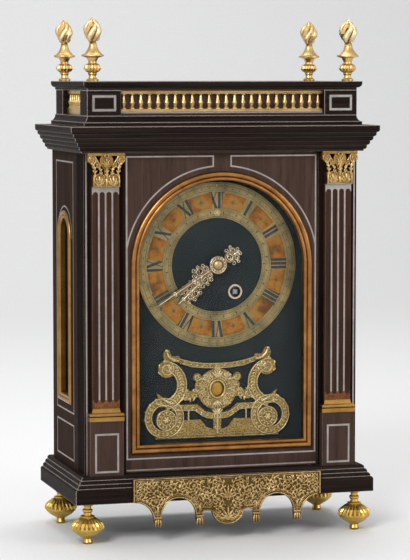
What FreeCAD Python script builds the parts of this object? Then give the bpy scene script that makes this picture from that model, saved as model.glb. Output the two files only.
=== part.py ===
# Religieuse clock: an ebony case with pewter stringing and gilt mounts, a velvet dial
# behind a pivoted glazed door, and a spring-driven movement with a short pendulum.
# Millimetres, +Z up. The front faces -Y and +X is the viewer's right. The origin lies on
# the floor, under the middle of the clock's outer box.

import FreeCAD
import Part
import math
import os

# Allowances shared by every fit
cut_overrun = 2.0
running_clearance = 0.06
press_clearance = 0.02
fitting_clearance = 0.25
same_point = 1e-6
lobe_crest_shares = (1 / 3, 2 / 3)

# Case: two front posts, two side panels and the space between them
case_width = 290.0
case_depth = 145.0
case_height = 326.0
post_front_thickness = 19.5
post_depth = 31.5
post_lip_thickness = 12.0
side_panel_setback = 1.0

# Plinth under the case, stepping inwards as it rises
plinth_height = 27.0
plinth_fascia_height = 11.5
plinth_side_projection = 13.5
plinth_front_projection = 19.0
plinth_step_run = 2.5
plinth_step_count = 4

# Cornice over the case, stepping outwards as it rises
cornice_height = 26.5
cornice_fascia_height = 4.5
cornice_side_projection = 17.5
cornice_front_projection = 22.0
cornice_step_run = 2.6
cornice_step_count = 5

# Attic: base moulding, four corner dies, balustrades, core and cap
attic_side_projection = 2.0
attic_front_projection = 11.0
attic_back_setback = 8.5
attic_base_height = 10.5
attic_base_fillet = 4.0
attic_die_height = 25.5
attic_die_inset = 4.5
attic_die_width = 35.0
attic_die_depth = 30.0
attic_cap_height = 9.0
attic_cap_fillet = 2.5

# Balustrades in the attic's front and side openings
balustrade_recess = 5.0
balustrade_rail_depth = 6.0
balustrade_rail_height = 3.6
balustrade_foot_height = 3.0
baluster_pitch = 8.9
baluster_radius = 2.9
baluster_tenon = 0.8
baluster_profile_shares = [(0.95, 0.0), (0.95, 0.1), (0.55, 0.2), (1.0, 0.42), (0.62, 0.6), (0.4, 0.86),
                           (0.85, 0.92), (0.85, 1.0)]

# Toupie feet: pad, plain bowl, gadrooned shoulder, knop and neck
foot_height = 42.0
foot_radius = 17.2
foot_inset = 15.5
foot_back_inset = 28.0
foot_lobes = 22
foot_groove_share = 0.1
foot_lower_shares = [(0.0, 0.0), (0.26, 0.0), (0.3, 0.05), (0.24, 0.13), (0.4, 0.17), (0.72, 0.25),
                     (0.94, 0.345), (0.96, 0.4), (0.0, 0.4)]
foot_shoulder_shares = [(1.0, 0.38), (0.97, 0.46), (0.84, 0.53), (0.62, 0.6), (0.42, 0.65)]
foot_upper_shares = [(0.0, 0.63), (0.4, 0.63), (0.42, 0.68), (0.25, 0.7), (0.23, 0.76), (0.3, 0.79),
                     (0.3, 0.83), (0.22, 0.86), (0.22, 0.92), (0.48, 0.96), (0.48, 1.0), (0.0, 1.0)]

# Flaming urn finials on the attic's corners
finial_height = 63.5
finial_radius = 11.1
finial_inset = 12.0
finial_lobes = 12
finial_groove_share = 0.16
flame_lobes = 5
flame_groove_share = 0.3
flame_turn_share = 0.22
finial_stem_shares = [(0.0, 0.0), (0.55, 0.0), (0.55, 0.03), (0.36, 0.05), (0.3, 0.09), (0.42, 0.115),
                      (0.36, 0.14), (0.0, 0.14)]
finial_bulb_shares = [(0.34, 0.13), (0.68, 0.165), (0.81, 0.205), (0.72, 0.25), (0.4, 0.285)]
finial_cup_shares = [(0.0, 0.27), (0.38, 0.27), (0.37, 0.31), (0.54, 0.37), (1.0, 0.395), (1.0, 0.42),
                     (0.5, 0.45), (0.36, 0.52), (0.28, 0.6), (0.36, 0.645), (0.0, 0.645)]
finial_flame_shares = [(0.34, 0.63), (0.62, 0.68), (0.8, 0.76), (0.72, 0.85), (0.46, 0.93), (0.08, 1.0)]

# Gilt apron hung on the plinth's front
apron_half_width = 100.0
apron_height = 50.8
apron_rise = 24.6
apron_thickness = 2.6
apron_outline_shares = [(0.0, 1.0), (1.0, 1.0), (1.0, 0.53), (0.965, 0.515), ((0.845, 0.41), (0.785, 0.17)),
                        (0.775, 0.03), (0.705, 0.03), (0.7, 0.2), ((0.52, 0.575), (0.345, 0.23)),
                        (0.335, 0.015), (0.268, 0.015), (0.268, 0.28), (0.175, 0.3),
                        ((0.124, 0.09), (0.0, 0.0))]

# Pilasters on the posts: pedestal, base, shaft, collar and capital
pilaster_place_share = 21.5 / 42
pedestal_width_share = 35 / 42
pedestal_height = 55.5
pedestal_projection = 8.0
pilaster_base_height = 12.5
pilaster_base_spread = 4.0
shaft_width_share = 28 / 42
shaft_projection = 5.0
capital_height = 34.0
capital_spread = 5.0
capital_fret_depth = 4.5
capital_basket_shares = [(0.0, 0.0), (0.735, 0.0), (0.735, 0.345), ((0.55, 0.375), (0.37, 0.335)),
                         ((0.18, 0.36), (0.0, 0.325))]
capital_palmette_shares = [(0.0, 0.28), (0.11, 0.28), (0.13, 0.52), (0.3, 0.66), ((0.34, 0.84), (0.16, 0.95)),
                           (0.0, 0.95)]
capital_branch_shares = [(0.25, 0.3), (0.36, 0.3), ((0.33, 0.48), (0.45, 0.58)), (0.37, 0.66),
                         ((0.26, 0.5), (0.25, 0.3))]
capital_curl_shares = (0.43, 0.64, 0.15)
capital_link_shares = [(0.37, 0.7), (0.5, 0.62), (0.66, 0.8), (0.56, 0.88)]
capital_corner_shares = [(0.5, 0.3), (0.735, 0.3), ((0.67, 0.53), (0.78, 0.66)), (0.98, 0.78), (1.0, 0.93),
                         (0.62, 0.93), ((0.54, 0.8), (0.62, 0.66)), ((0.59, 0.48), (0.5, 0.3))]
volute_shares = (0.82, 0.81, 0.2)
volute_proud = 0.8
abacus_share = 0.08
collar_height = 7.6
copper_band_height = 8.8
flute_count = 4

# Pewter stringing let into the ebony
inlay_depth = 1.0
line_width = 1.4
panel_line_width = 1.8
flute_line_width = 1.6
post_line_inset = 2.5
pedestal_panel_margin = 5.1
pedestal_panel_rise = 3.0
pedestal_panel_height = 40.0
die_panel_width = 24.0
die_panel_height = 15.5

# Door between the pilasters, turning on two pivots at its right edge
door_gap = 1.2
door_height_gap = 0.8
door_thickness = 12.0
door_pivot_inset = 6.0
door_pivot_setback = 3.2
pivot_radius = 1.8
pivot_reach = 8.0
door_line_inset = 1.4
door_line_top_drop = 4.3
door_line_bottom_rise = 14.6
door_foot_line_rise = 3.0
door_line_break = 9.5
door_arch_line_gap = 5.9
door_stile_margin = 5.3

# Bezel and glass of the door
bezel_inner_half_width = 87.5
bezel_width = 9.0
bezel_proud = 3.5
bezel_sleeve_width = 4.5
bezel_sleeve_depth = 5.0
bezel_inner_rise = 28.5
bezel_bead_shares = [0.2, 0.7, 0.42, 0.25, 0.72]
glass_thickness = 2.0

# Arched windows in the side panels
window_frame_width = 8.0
window_frame_proud = 2.5
window_sleeve_width = 5.0
window_sleeve_depth = 5.0
window_inner_rise = 72.0
window_top_drop = 70.0
window_side_gap = 11.0
side_line_margin = 18.25
side_line_top_drop = 10.5
side_upper_line_rise = 55.3
side_lower_line_rise = 44.0
side_foot_line_rise = 6.4
side_arch_line_gap = 5.0

# Back door, turning on two pivots at its right edge, and its pull knob
back_door_thickness = 9.0
back_door_recess = 11.0
back_door_panel_margin = 30.0
back_door_panel_bevel = 2.0
knob_height = 10.0
knob_radius = 6.0
knob_edge_distance = 16.0
knob_tenon_radius = 2.4
knob_profile_shares = [(0.0, 0.0), (0.75, 0.0), (0.75, 0.12), (0.42, 0.22), (0.42, 0.45), (1.0, 0.72),
                       (0.8, 0.95), (0.0, 1.0)]

# Dial: velvet plate, chapter ring, cartouches, ornament and winding grommet
dial_top_rail = 29.0
dial_plate_thickness = 2.0
dial_plate_top_gap = 0.5
chapter_outer_radius = 85.0
chapter_inner_radius = 48.4
chapter_thickness = 1.5
cartouche_outer_radius = 74.2
cartouche_inner_radius = 57.6
cartouche_thickness = 0.5
cartouche_angle = 20.0
hour_count = 12
grommet_outer_radius = 7.5
grommet_inner_radius = 5.75
grommet_thickness = 1.6
winding_offset_x = 19.5
winding_offset_z = -28.3

# Gilt openwork ornament under the chapter ring
ornament_side_gap = 9.5
ornament_top_gap = 0.7
ornament_rise = 30.8
ornament_thickness = 2.6
ornament_height_share = 93 / 78
medallion_width_share = 6.8 / 78
medallion_height_share = 7.9 / 78
ornament_foot_shares = [(0.0, 0.0), (0.85, 0.0), (0.85, 0.05), (0.62, 0.06), (0.6, 0.2), (0.23, 0.205),
                        (0.15, 0.12), (0.05, 0.09), (0.0, 0.1)]
ornament_bar_shares = [(0.0, 0.215), (0.08, 0.205), (0.2, 0.235), (0.3, 0.305), (0.62, 0.31), (0.62, 0.38),
                       (0.27, 0.375), (0.17, 0.3), (0.06, 0.275), (0.0, 0.29)]
ornament_stem_share = 0.055
ornament_top_shares = [(0.0, 0.77), ((0.26, 0.785), (0.52, 0.84)), (0.56, 0.9), ((0.32, 0.845), (0.0, 0.83))]
ornament_horn_shares = [(0.5, 0.84), (0.62, 0.86), ((0.74, 0.92), (0.7, 0.998)), (0.66, 0.99), (0.62, 0.92),
                        (0.52, 0.92)]
ornament_volute_shares = (0.73, 0.235, 0.27, 0.17)
ornament_rosette_shares = (0.7, 0.21, 0.14)
ornament_arm_shares = (0.75, 0.6, 0.2, 0.33, 100, 262)
ornament_leaf_shares = [(0.62, 0.4), (0.83, 0.515), (0.8, 0.43), (0.9, 0.36), (0.7, 0.36)]
ornament_curl_shares = (0.69, 0.78, 0.115)
ornament_bud_shares = (0.275, 0.675, 0.055)
ornament_shield_shares = (0.0, 0.54, 0.27)
ornament_wing_shares = [(0.1, 0.45), (0.3, 0.455), (0.44, 0.42), (0.5, 0.46), (0.43, 0.52), (0.3, 0.53),
                        (0.31, 0.6), (0.24, 0.68), (0.1, 0.6)]

# Hands
hand_thickness = 1.0
hour_hand_length = 58.0
minute_hand_length = 78.0
hour_hand_angle = 226.5
minute_hand_angle = 237.7
minute_hub_radius = 9.3
hour_hub_radius = 8.0
collet_radius = 4.2
collet_height = 1.5
hand_spacing = 1.1
hand_scroll_shares = [(0.064, 0.257, 0.067, 0.044), (-0.064, 0.257, 0.067, 0.044), (0.05, 0.175, 0.05, 0.03),
                      (-0.05, 0.175, 0.05, 0.03)]
hand_blade_shares = [(0.03, 0.1), (0.036, 0.34), (0.02, 0.66), (0.034, 0.69), (0.03, 0.74), (0.013, 0.78),
                     (0.006, 1.0)]
hand_tail_shares = [(0.0, -0.182, 0.07, 0.045), (0.05, -0.265, 0.045, 0.025), (-0.05, -0.265, 0.045, 0.025)]
hour_scroll_shares = [(0.075, 0.64, 0.08, 0.05), (-0.075, 0.64, 0.08, 0.05), (0.055, 0.76, 0.06, 0.035),
                      (-0.055, 0.76, 0.06, 0.035)]
hour_blade_shares = [(0.04, 0.1), (0.045, 0.5), (0.035, 0.8), (0.05, 0.86), (0.012, 1.0)]

# Movement frame: plates, pillars and dial feet
plate_half_width = 56.0
plate_drop = 66.0
plate_rise = 62.0
plate_thickness = 2.5
dial_foot_length = 12.0
pillar_length = 35.5
pillar_inset = 8.0
pillar_radius = 4.0
dial_foot_radius = 3.0
pillar_profile_shares = [(0.0, 0.0), (1.0, 0.0), (1.0, 0.06), (0.6, 0.12), (0.95, 0.3), (0.55, 0.46),
                         (0.9, 0.5), (0.55, 0.54), (0.95, 0.7), (0.6, 0.88), (1.0, 0.94), (1.0, 1.0),
                         (0.0, 1.0)]

# Going train. Wheels drive pinions, and each pair shares a module
great_teeth = 80
centre_pinion_leaves = 8
centre_teeth = 80
third_pinion_leaves = 6
third_teeth = 70
escape_pinion_leaves = 6
centre_module = 0.6
third_module = 0.5
third_arbor_angle = 122.8
mesh_ease_share = 0.16
wheel_addendum_share = 0.95
wheel_dedendum_share = 1.4
wheel_root_width_share = 0.56
wheel_tip_width_share = 0.14
pinion_addendum_share = 0.7
pinion_dedendum_share = 1.4
pinion_root_width_share = 0.36
pinion_tip_width_share = 0.2
wheel_thickness = 1.6
great_wheel_thickness = 2.5
pinion_length = 4.4
spoke_width = 2.6
rim_width = 3.0
spoke_count = 4
arbor_radius = 0.75
centre_arbor_radius = 2.0
pivot_share = 0.7
hub_radius = 4.0

# Places of the wheels along the movement's depth, measured from the front plate's back
centre_wheel_depth = 2.5
great_wheel_depth = 8.5
third_wheel_depth = 27.5
escape_wheel_depth = 16.5

# Barrel with its winding arbor, ratchet and click
barrel_radius = 27.0
barrel_length = 21.0
barrel_wall = 1.6
winding_arbor_radius = 4.0
winding_pivot_radius = 3.0
winding_square = 4.6
winding_square_proud = 1.0
mainspring_turns = 9
mainspring_thickness = 0.6
mainspring_eye_gap = 0.5
mainspring_points_per_turn = 24
ratchet_teeth = 24
ratchet_radius = 9.0
ratchet_tooth_depth = 1.4
ratchet_thickness = 2.4
ratchet_lift = 0.6
click_length = 13.0
click_thickness = 2.0
click_width = 4.0
click_gap = 0.5
click_stud_radius = 1.5
click_nose_share = 0.2

# Escapement
escape_teeth = 30
escape_radius = 14.0
escape_tooth_depth = 3.0
escape_tip_share = 0.75
escape_heel_share = 0.8
anchor_rise = 18.0
anchor_gap = 1.6
anchor_thickness = 2.0
anchor_arm_width = 3.6
anchor_half_angle = 48.0
pallet_reach = 0.5
pallet_angle = 5.0
anchor_boss_radius = 4.0

# Crutch, suspension and pendulum behind the back plate
pendulum_length = 148.0
pendulum_depth = 9.5
pendulum_rod_radius = 1.2
thread_length = 10.0
thread_radius = 0.45
thread_half_gap = 1.0
bob_radius = 19.0
bob_thickness = 9.0
bob_edge_thickness = 1.2
rating_nut_radius = 3.5
rating_nut_height = 3.0
rod_tail = 9.0
crutch_gap = 1.8
crutch_thickness = 1.2
crutch_width = 3.2
crutch_length = 32.0
fork_prong = 1.4
fork_clearance = 0.35
cock_width = 26.0
cock_height = 5.0
cock_lift = 3.0
cock_depth = 14.0
cock_foot_width = 8.0
cock_foot_thickness = 3.0
cheek_length = 5.0
cheek_thickness = 1.2
cheek_gap = 1.0

# Motion work between the dial plate and the front plate
cannon_teeth = 12
minute_wheel_teeth = 36
minute_pinion_leaves = 10
hour_wheel_teeth = 40
hour_module = 0.6
motion_stud_angle = 180.0
motion_stud_radius = 1.5
motion_lower_lift = 1.2
motion_upper_lift = 5.0
motion_wheel_thickness = 2.0
cannon_radius = 3.0
cannon_tip_radius = 2.6
hour_pipe_radius = 4.2
hour_pipe_tip_radius = 3.8
dial_centre_hole_gap = 0.5

# Levels of the stack, from the floor up
plinth_z = foot_height
case_z = plinth_z + plinth_height
cornice_z = case_z + case_height
attic_z = cornice_z + cornice_height
die_z = attic_z + attic_base_height
cap_z = die_z + attic_die_height
finial_z = cap_z + attic_cap_height
dial_z = cornice_z - dial_top_rail - bezel_inner_half_width
pedestal_top_z = case_z + pedestal_height
shaft_z = pedestal_top_z + pilaster_base_height
capital_z = cornice_z - capital_height
door_z = case_z + door_height_gap
door_top_z = cornice_z - door_height_gap

# Planes of the case, from side to side and from front to back
overall_depth = case_depth + cornice_front_projection
case_back_y = overall_depth / 2
case_front_y = case_back_y - case_depth
case_half = case_width / 2
door_half = bezel_inner_half_width + bezel_width + door_stile_margin
post_inner_x = door_half + door_gap
post_width = case_half - post_inner_x
lip_inner_x = case_half - post_lip_thickness
post_back_y = case_front_y + post_depth
dial_front_y = case_front_y + post_front_thickness
dial_back_y = dial_front_y + dial_plate_thickness
panel_outer_x = case_half - side_panel_setback
panel_thickness = panel_outer_x - lip_inner_x
window_y = (case_back_y + post_back_y) / 2
side_line_half_width = (case_back_y - post_back_y) / 2 - side_line_margin
window_inner_half_width = side_line_half_width - window_side_gap - window_frame_width
door_arch_line_radius = bezel_inner_half_width + bezel_width + door_arch_line_gap
door_back_y = case_front_y + door_thickness
door_pivot_x = door_half - door_pivot_inset
door_pivot_y = case_front_y + door_pivot_setback
back_door_half = lip_inner_x - door_gap
back_door_outer_y = case_back_y - back_door_recess
back_door_inner_y = back_door_outer_y - back_door_thickness
back_pivot_x = back_door_half - door_pivot_inset
back_pivot_y = back_door_outer_y - door_pivot_setback
plinth_front_y = case_front_y - plinth_front_projection
attic_half = case_half + attic_side_projection
attic_front_y = case_front_y - attic_front_projection
attic_back_y = case_back_y - attic_back_setback
die_half = attic_half - attic_die_inset
die_front_y = attic_front_y + attic_die_inset
die_back_y = attic_back_y - attic_die_inset
pilaster_x = case_half - post_width * pilaster_place_share
pedestal_width = post_width * pedestal_width_share
shaft_width = post_width * shaft_width_share
shaft_front_y = case_front_y - shaft_projection
pedestal_front_y = case_front_y - pedestal_projection

# Planes and places of the movement
front_plate_y = dial_back_y + dial_foot_length
train_y = front_plate_y + plate_thickness
back_plate_y = train_y + pillar_length
back_plate_back_y = back_plate_y + plate_thickness
winding_x = winding_offset_x
winding_z = dial_z + winding_offset_z
great_distance = math.hypot(winding_offset_x, winding_offset_z)
great_module = 2 * great_distance / (great_teeth + centre_pinion_leaves + mesh_ease_share)
third_distance = centre_module * (centre_teeth + third_pinion_leaves + mesh_ease_share) / 2
third_x = third_distance * math.cos(math.radians(third_arbor_angle))
third_z = dial_z + third_distance * math.sin(math.radians(third_arbor_angle))
escape_distance = third_module * (third_teeth + escape_pinion_leaves + mesh_ease_share) / 2
escape_x = 0
escape_z = third_z + math.sqrt(escape_distance ** 2 - third_x ** 2)
anchor_z = escape_z + anchor_rise
pendulum_y = back_plate_back_y + pendulum_depth
bob_z = anchor_z - pendulum_length
ornament_z = case_z + ornament_rise
ornament_room_height = dial_z - chapter_outer_radius - ornament_top_gap - ornament_z
ornament_room_half_width = bezel_inner_half_width - ornament_side_gap
ornament_half_width = min(ornament_room_half_width, ornament_room_height / ornament_height_share)
ornament_height = ornament_half_width * ornament_height_share
motion_distance = hour_module * (hour_wheel_teeth + minute_pinion_leaves + mesh_ease_share) / 2
cannon_module = 2 * motion_distance / (cannon_teeth + minute_wheel_teeth + mesh_ease_share)
motion_x = motion_distance * math.cos(math.radians(motion_stud_angle))
motion_z = dial_z + motion_distance * math.sin(math.radians(motion_stud_angle))
hour_hand_y = dial_front_y - chapter_thickness - cartouche_thickness - hand_spacing
minute_hand_y = hour_hand_y - hand_thickness - hand_spacing
hand_tip_y = minute_hand_y - hand_thickness
motion_lower_y = front_plate_y - motion_lower_lift - motion_wheel_thickness
motion_upper_y = front_plate_y - motion_upper_lift - motion_wheel_thickness

vector = FreeCAD.Vector
origin = vector(0, 0, 0)
half_turn = 180
full_turn = 360
quarter_share = math.sqrt(0.5)


# Plain shapes and outlines

def block(x0, x1, y0, y1, z0, z1):
    return Part.makeBox(x1 - x0, y1 - y0, z1 - z0, vector(x0, y0, z0))


def rod_y(radius, y0, y1, x=0, z=0):
    return Part.makeCylinder(radius, y1 - y0, vector(x, y0, z), vector(0, 1, 0))


def rod_z(radius, z0, z1, x=0, y=0):
    return Part.makeCylinder(radius, z1 - z0, vector(x, y, z0), vector(0, 0, 1))


def is_arc(step):
    """An outline's step is a point, or the middle and the end of an arc."""
    return isinstance(step[0], tuple)


def moved(steps, rule):
    """The same outline with every point put through a rule."""
    return [(rule(*step[0]), rule(*step[1])) if is_arc(step) else rule(*step) for step in steps]


def closed_face(steps, place):
    """A flat face inside an outline of lines and arcs."""
    edges = []
    start = place(*steps[0])
    here = start
    for step in steps[1:]:
        there = place(*step[1]) if is_arc(step) else place(*step)
        if is_arc(step):
            edges.append(Part.Arc(here, place(*step[0]), there).toShape())
        else:
            edges.append(Part.makeLine(here, there))
        here = there
    if here.distanceToPoint(start) > same_point:
        edges.append(Part.makeLine(here, start))
    return Part.Face(Part.Wire(edges))


def prism_x(steps, x0, x1):
    return closed_face(steps, lambda y, z: vector(x0, y, z)).extrude(vector(x1 - x0, 0, 0))


def prism_y(steps, y0, y1):
    return closed_face(steps, lambda x, z: vector(x, y0, z)).extrude(vector(0, y1 - y0, 0))


def prism_z(steps, z0, z1):
    return closed_face(steps, lambda x, y: vector(x, y, z0)).extrude(vector(0, 0, z1 - z0))


def turned_z(steps, x=0, y=0):
    """A turning about an upright axis, from (radius, height) points."""
    face = closed_face(steps, lambda radius, z: vector(x + radius, y, z))
    return face.revolve(vector(x, y, 0), vector(0, 0, 1), full_turn)


def turned_y(steps, x=0, z=0):
    """A turning about an axis from front to back, from (radius, depth) points."""
    face = closed_face(steps, lambda radius, y: vector(x + radius, y, z))
    return face.revolve(vector(x, 0, z), vector(0, 1, 0), full_turn)


def joined(shapes):
    return shapes[0].multiFuse(shapes[1:]).removeSplitter()


def mirrored(shape, x=0):
    return shape.mirror(vector(x, 0, 0), vector(1, 0, 0))


def turned_about_y(shape, x, z, angle):
    """A copy turned clockwise, as seen from the front, about an axis from front to back."""
    copy = shape.copy()
    copy.rotate(vector(x, 0, z), vector(0, 1, 0), angle)
    return copy


def scaled_profile(shares, radius, height, low):
    """Points of a turning, from shares of its largest radius and of its height."""
    return [(share * radius, low + rise * height) for share, rise in shares]


def ring_sector(x, z, inner, outer, start, end):
    """Outline of a band between two arcs about a point. Angles run from +X towards +Z."""
    def at(radius, angle):
        turn = math.radians(angle)
        return (x + radius * math.cos(turn), z + radius * math.sin(turn))
    middle = (start + end) / 2
    return [at(inner, start), at(outer, start), (at(outer, middle), at(outer, end)), at(inner, end),
            (at(inner, middle), at(inner, start))]


def dome_drop(radius, height):
    """How far a round dome lies under its crown, halfway out to its rim."""
    ball = (radius ** 2 + height ** 2) / (2 * height)
    return ball - math.sqrt(ball ** 2 - (radius / 2) ** 2)


def annulus(inner, outer, y0, y1, x=0, z=0):
    return rod_y(outer, y0, y1, x, z).cut(rod_y(inner, y0 - cut_overrun, y1 + cut_overrun, x, z))


def lobed(stations, lobes, groove_share, turn_share=0):
    """Gadroons: a ruled loft through lobed rings, each (radius, height), with an even twist."""
    rings = []
    for level, (radius, height) in enumerate(stations):
        points = []
        for lobe in range(lobes):
            for place, crest in [(0, 1 - groove_share)] + [(share, 1) for share in lobe_crest_shares]:
                angle = 2 * math.pi * (lobe + place + turn_share * level) / lobes
                points.append(vector(radius * crest * math.cos(angle), radius * crest * math.sin(angle),
                                     height))
        rings.append(Part.makePolygon(points + points[:1]))
    return Part.makeLoft(rings, True, True)


def beaded_steps(out, low, rise, run, count, growing):
    """Moulding profile of equal steps, each a fillet and a quarter-round bead."""
    steps = [(out, low)]
    side = 1 if growing else -1
    bow = quarter_share if growing else 1 - quarter_share
    for step in range(count):
        foot = low + step * rise + rise - run
        middle_rise = 1 - quarter_share if growing else quarter_share
        steps.append((out, foot))
        steps.append(((out + side * run * bow, foot + run * middle_rise), (out + side * run, foot + run)))
        out = out + side * run
    return steps


def moulded_block(profile, half_width, front, back, x=0):
    """A block with one moulding round its front and sides, mitred at the front corners.
    The profile holds (projection, height) points from the bottom up."""
    ends = [step[1] if is_arc(step) else step for step in profile]
    low = ends[0][1]
    high = ends[-1][1]
    reach = max(out for out, height in ends)
    right = [(0, low)] + moved(profile, lambda out, z: (half_width + out, z)) + [(0, high)]
    flank = prism_y(right, front - reach, back)
    both = flank.fuse(mirrored(flank))
    face = [(back, low)] + moved(profile, lambda out, z: (front - out, z)) + [(back, high)]
    solid = both.common(prism_x(face, -half_width - reach, half_width + reach)).removeSplitter()
    solid.translate(vector(x, 0, 0))
    return solid


def arched_outline(half_width, low, spring):
    return [(-half_width, low), (half_width, low), (half_width, spring),
            ((0, spring + half_width), (-half_width, spring))]


def arched_frame(profile, half_width, low, spring):
    """A moulded frame round an arched opening, mitred at its lower corners.
    The profile holds (distance outside the opening, depth) points."""
    reach = max((step[1] if is_arc(step) else step)[0] for step in profile)
    section = closed_face(profile, lambda out, y: vector(half_width + out, y, spring))
    arch = section.revolve(vector(0, 0, spring), vector(0, -1, 0), half_turn)
    depths = [(step[1] if is_arc(step) else step)[1] for step in profile]
    front = min(depths) - cut_overrun - reach
    back = max(depths) + cut_overrun
    jamb_area = [(half_width, spring), (half_width, low), (half_width + reach, low - reach),
                 (half_width + reach, spring)]
    jamb = section.extrude(vector(0, 0, low - reach - spring)).common(prism_y(jamb_area, front, back))
    sill_section = closed_face(profile, lambda out, y: vector(-half_width - reach, y, low - out))
    sill_area = [(-half_width, low), (half_width, low), (half_width + reach, low - reach),
                 (-half_width - reach, low - reach)]
    sill = sill_section.extrude(vector(2 * half_width + 2 * reach, 0, 0))
    sill = sill.common(prism_y(sill_area, front, back))
    return joined([arch, jamb, mirrored(jamb), sill])


def bezel_profile(width, proud, sleeve_width, sleeve_depth):
    """A small inner bead and a larger outer one, with a sleeve that enters the opening."""
    inner_middle, inner_height, meeting, valley, outer_middle = bezel_bead_shares
    return [(0, 0), ((inner_middle * width, -inner_height * proud), (meeting * width, -valley * proud)),
            ((outer_middle * width, -proud), (width, 0)), (sleeve_width, 0), (sleeve_width, sleeve_depth),
            (0, sleeve_depth)]


# Case: plinth, feet, apron, posts and side panels

def hinge_places():
    return [(door_pivot_x, door_pivot_y), (back_pivot_x, back_pivot_y)]


def hinge_pins(radius):
    """The lower and the upper pin of both doors."""
    pins = []
    for x, y in hinge_places():
        pins.append(rod_z(radius, case_z - pivot_reach, door_z + pivot_reach, x, y))
        pins.append(rod_z(radius, door_top_z - pivot_reach, cornice_z + pivot_reach, x, y))
    return pins


def plinth():
    step_rise = (plinth_height - plinth_fascia_height) / plinth_step_count
    profile = [(plinth_side_projection, plinth_z)]
    profile += beaded_steps(plinth_side_projection, plinth_z + plinth_fascia_height, step_rise,
                            plinth_step_run, plinth_step_count, False)
    front = plinth_front_y + plinth_side_projection
    body = moulded_block(profile, case_half, front, case_back_y)
    return body.cut(hinge_pins(pivot_radius + press_clearance))


def foot_places():
    x = case_half + plinth_side_projection - foot_inset
    rows = (plinth_front_y + foot_inset, case_back_y - foot_back_inset)
    return [(side * x, y) for y in rows for side in (-1, 1)]


def foot(x, y):
    lower = turned_z(scaled_profile(foot_lower_shares, foot_radius, foot_height, 0))
    shoulder = lobed(scaled_profile(foot_shoulder_shares, foot_radius, foot_height, 0), foot_lobes,
                     foot_groove_share)
    upper = turned_z(scaled_profile(foot_upper_shares, foot_radius, foot_height, 0))
    solid = joined([lower, shoulder, upper])
    solid.translate(vector(x, y, 0))
    return solid


def apron():
    half = moved(apron_outline_shares, lambda x, z: (x * apron_half_width, apron_rise_z(z)))
    right = prism_y(half, plinth_front_y - apron_thickness, plinth_front_y)
    return joined([right, mirrored(right)])


def apron_rise_z(share):
    """Heights on the apron. Its top edge stands above the plinth's lower edge."""
    return plinth_z + apron_rise + (share - 1) * apron_height


def right_post():
    section = [(post_inner_x, case_front_y), (case_half, case_front_y), (case_half, post_back_y),
               (lip_inner_x, post_back_y), (lip_inner_x, dial_front_y), (post_inner_x, dial_front_y)]
    return prism_z(section, case_z, cornice_z).cut(post_line())


def on_left_side(shape):
    """Carries a piece drawn on the front plane, about X = 0, to the left side panel's outer face."""
    copy = shape.copy()
    copy.rotate(origin, vector(0, 0, 1), -half_turn / 2)
    copy.translate(vector(-panel_outer_x, window_y, 0))
    return copy


def window_levels():
    low = case_z + window_inner_rise
    return low, cornice_z - window_top_drop - window_inner_half_width


def left_side_panel():
    low, spring = window_levels()
    opening = arched_outline(window_inner_half_width + window_sleeve_width, low - window_sleeve_width, spring)
    board = block(window_y - case_back_y, window_y - post_back_y, 0, panel_thickness, case_z, cornice_z)
    board = board.cut(prism_y(opening, -cut_overrun, panel_thickness + cut_overrun))
    return on_left_side(board).cut(left_side_lines())


def left_window_frame():
    low, spring = window_levels()
    profile = bezel_profile(window_frame_width, window_frame_proud, window_sleeve_width, window_sleeve_depth)
    return on_left_side(arched_frame(profile, window_inner_half_width, low, spring))


def left_window_glass():
    low, spring = window_levels()
    margin = window_sleeve_width - fitting_clearance
    pane = arched_outline(window_inner_half_width + margin, low - margin, spring)
    return on_left_side(prism_y(pane, window_sleeve_depth, window_sleeve_depth + glass_thickness))


# Pewter stringing

def line_box(x0, z0, x1, z1, width, front, depth):
    """A straight line between two points that share a height or a side, with square ends."""
    half = width / 2
    return block(min(x0, x1) - half, max(x0, x1) + half, front, front + depth, min(z0, z1) - half,
                 max(z0, z1) + half)


def line_rectangle(x, z0, half_width, height, width, front, depth):
    """Four lines round a panel, measured to their outer edges."""
    outer = block(x - half_width, x + half_width, front, front + depth, z0, z0 + height)
    inner = block(x - half_width + width, x + half_width - width, front - cut_overrun,
                  front + depth + cut_overrun, z0 + width, z0 + height - width)
    return outer.cut(inner)


def post_line():
    x = case_half - post_line_inset
    half = line_width / 2
    return block(x - half, x + half, case_front_y, case_front_y + inlay_depth, case_z, cornice_z)


def pedestal_lines():
    half_width = pedestal_width / 2 - pedestal_panel_margin
    return line_rectangle(pilaster_x, case_z + pedestal_panel_rise, half_width, pedestal_panel_height,
                          panel_line_width, pedestal_front_y, inlay_depth)


def flute_lines():
    pitch = shaft_width / flute_count
    low = shaft_z + copper_band_height
    high = capital_z - collar_height
    half = flute_line_width / 2
    places = [pilaster_x - shaft_width / 2 + pitch * place for place in range(1, flute_count)]
    return [block(x - half, x + half, shaft_front_y, shaft_front_y + inlay_depth, low, high) for x in places]


def die_lines():
    x = die_half - attic_die_width / 2
    low = die_z + (attic_die_height - die_panel_height) / 2
    return line_rectangle(x, low, die_panel_width / 2, die_panel_height, panel_line_width, die_front_y,
                          inlay_depth)


def front_stringing():
    right = [post_line(), pedestal_lines(), die_lines()] + flute_lines()
    return right + [mirrored(line) for line in right]


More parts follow.
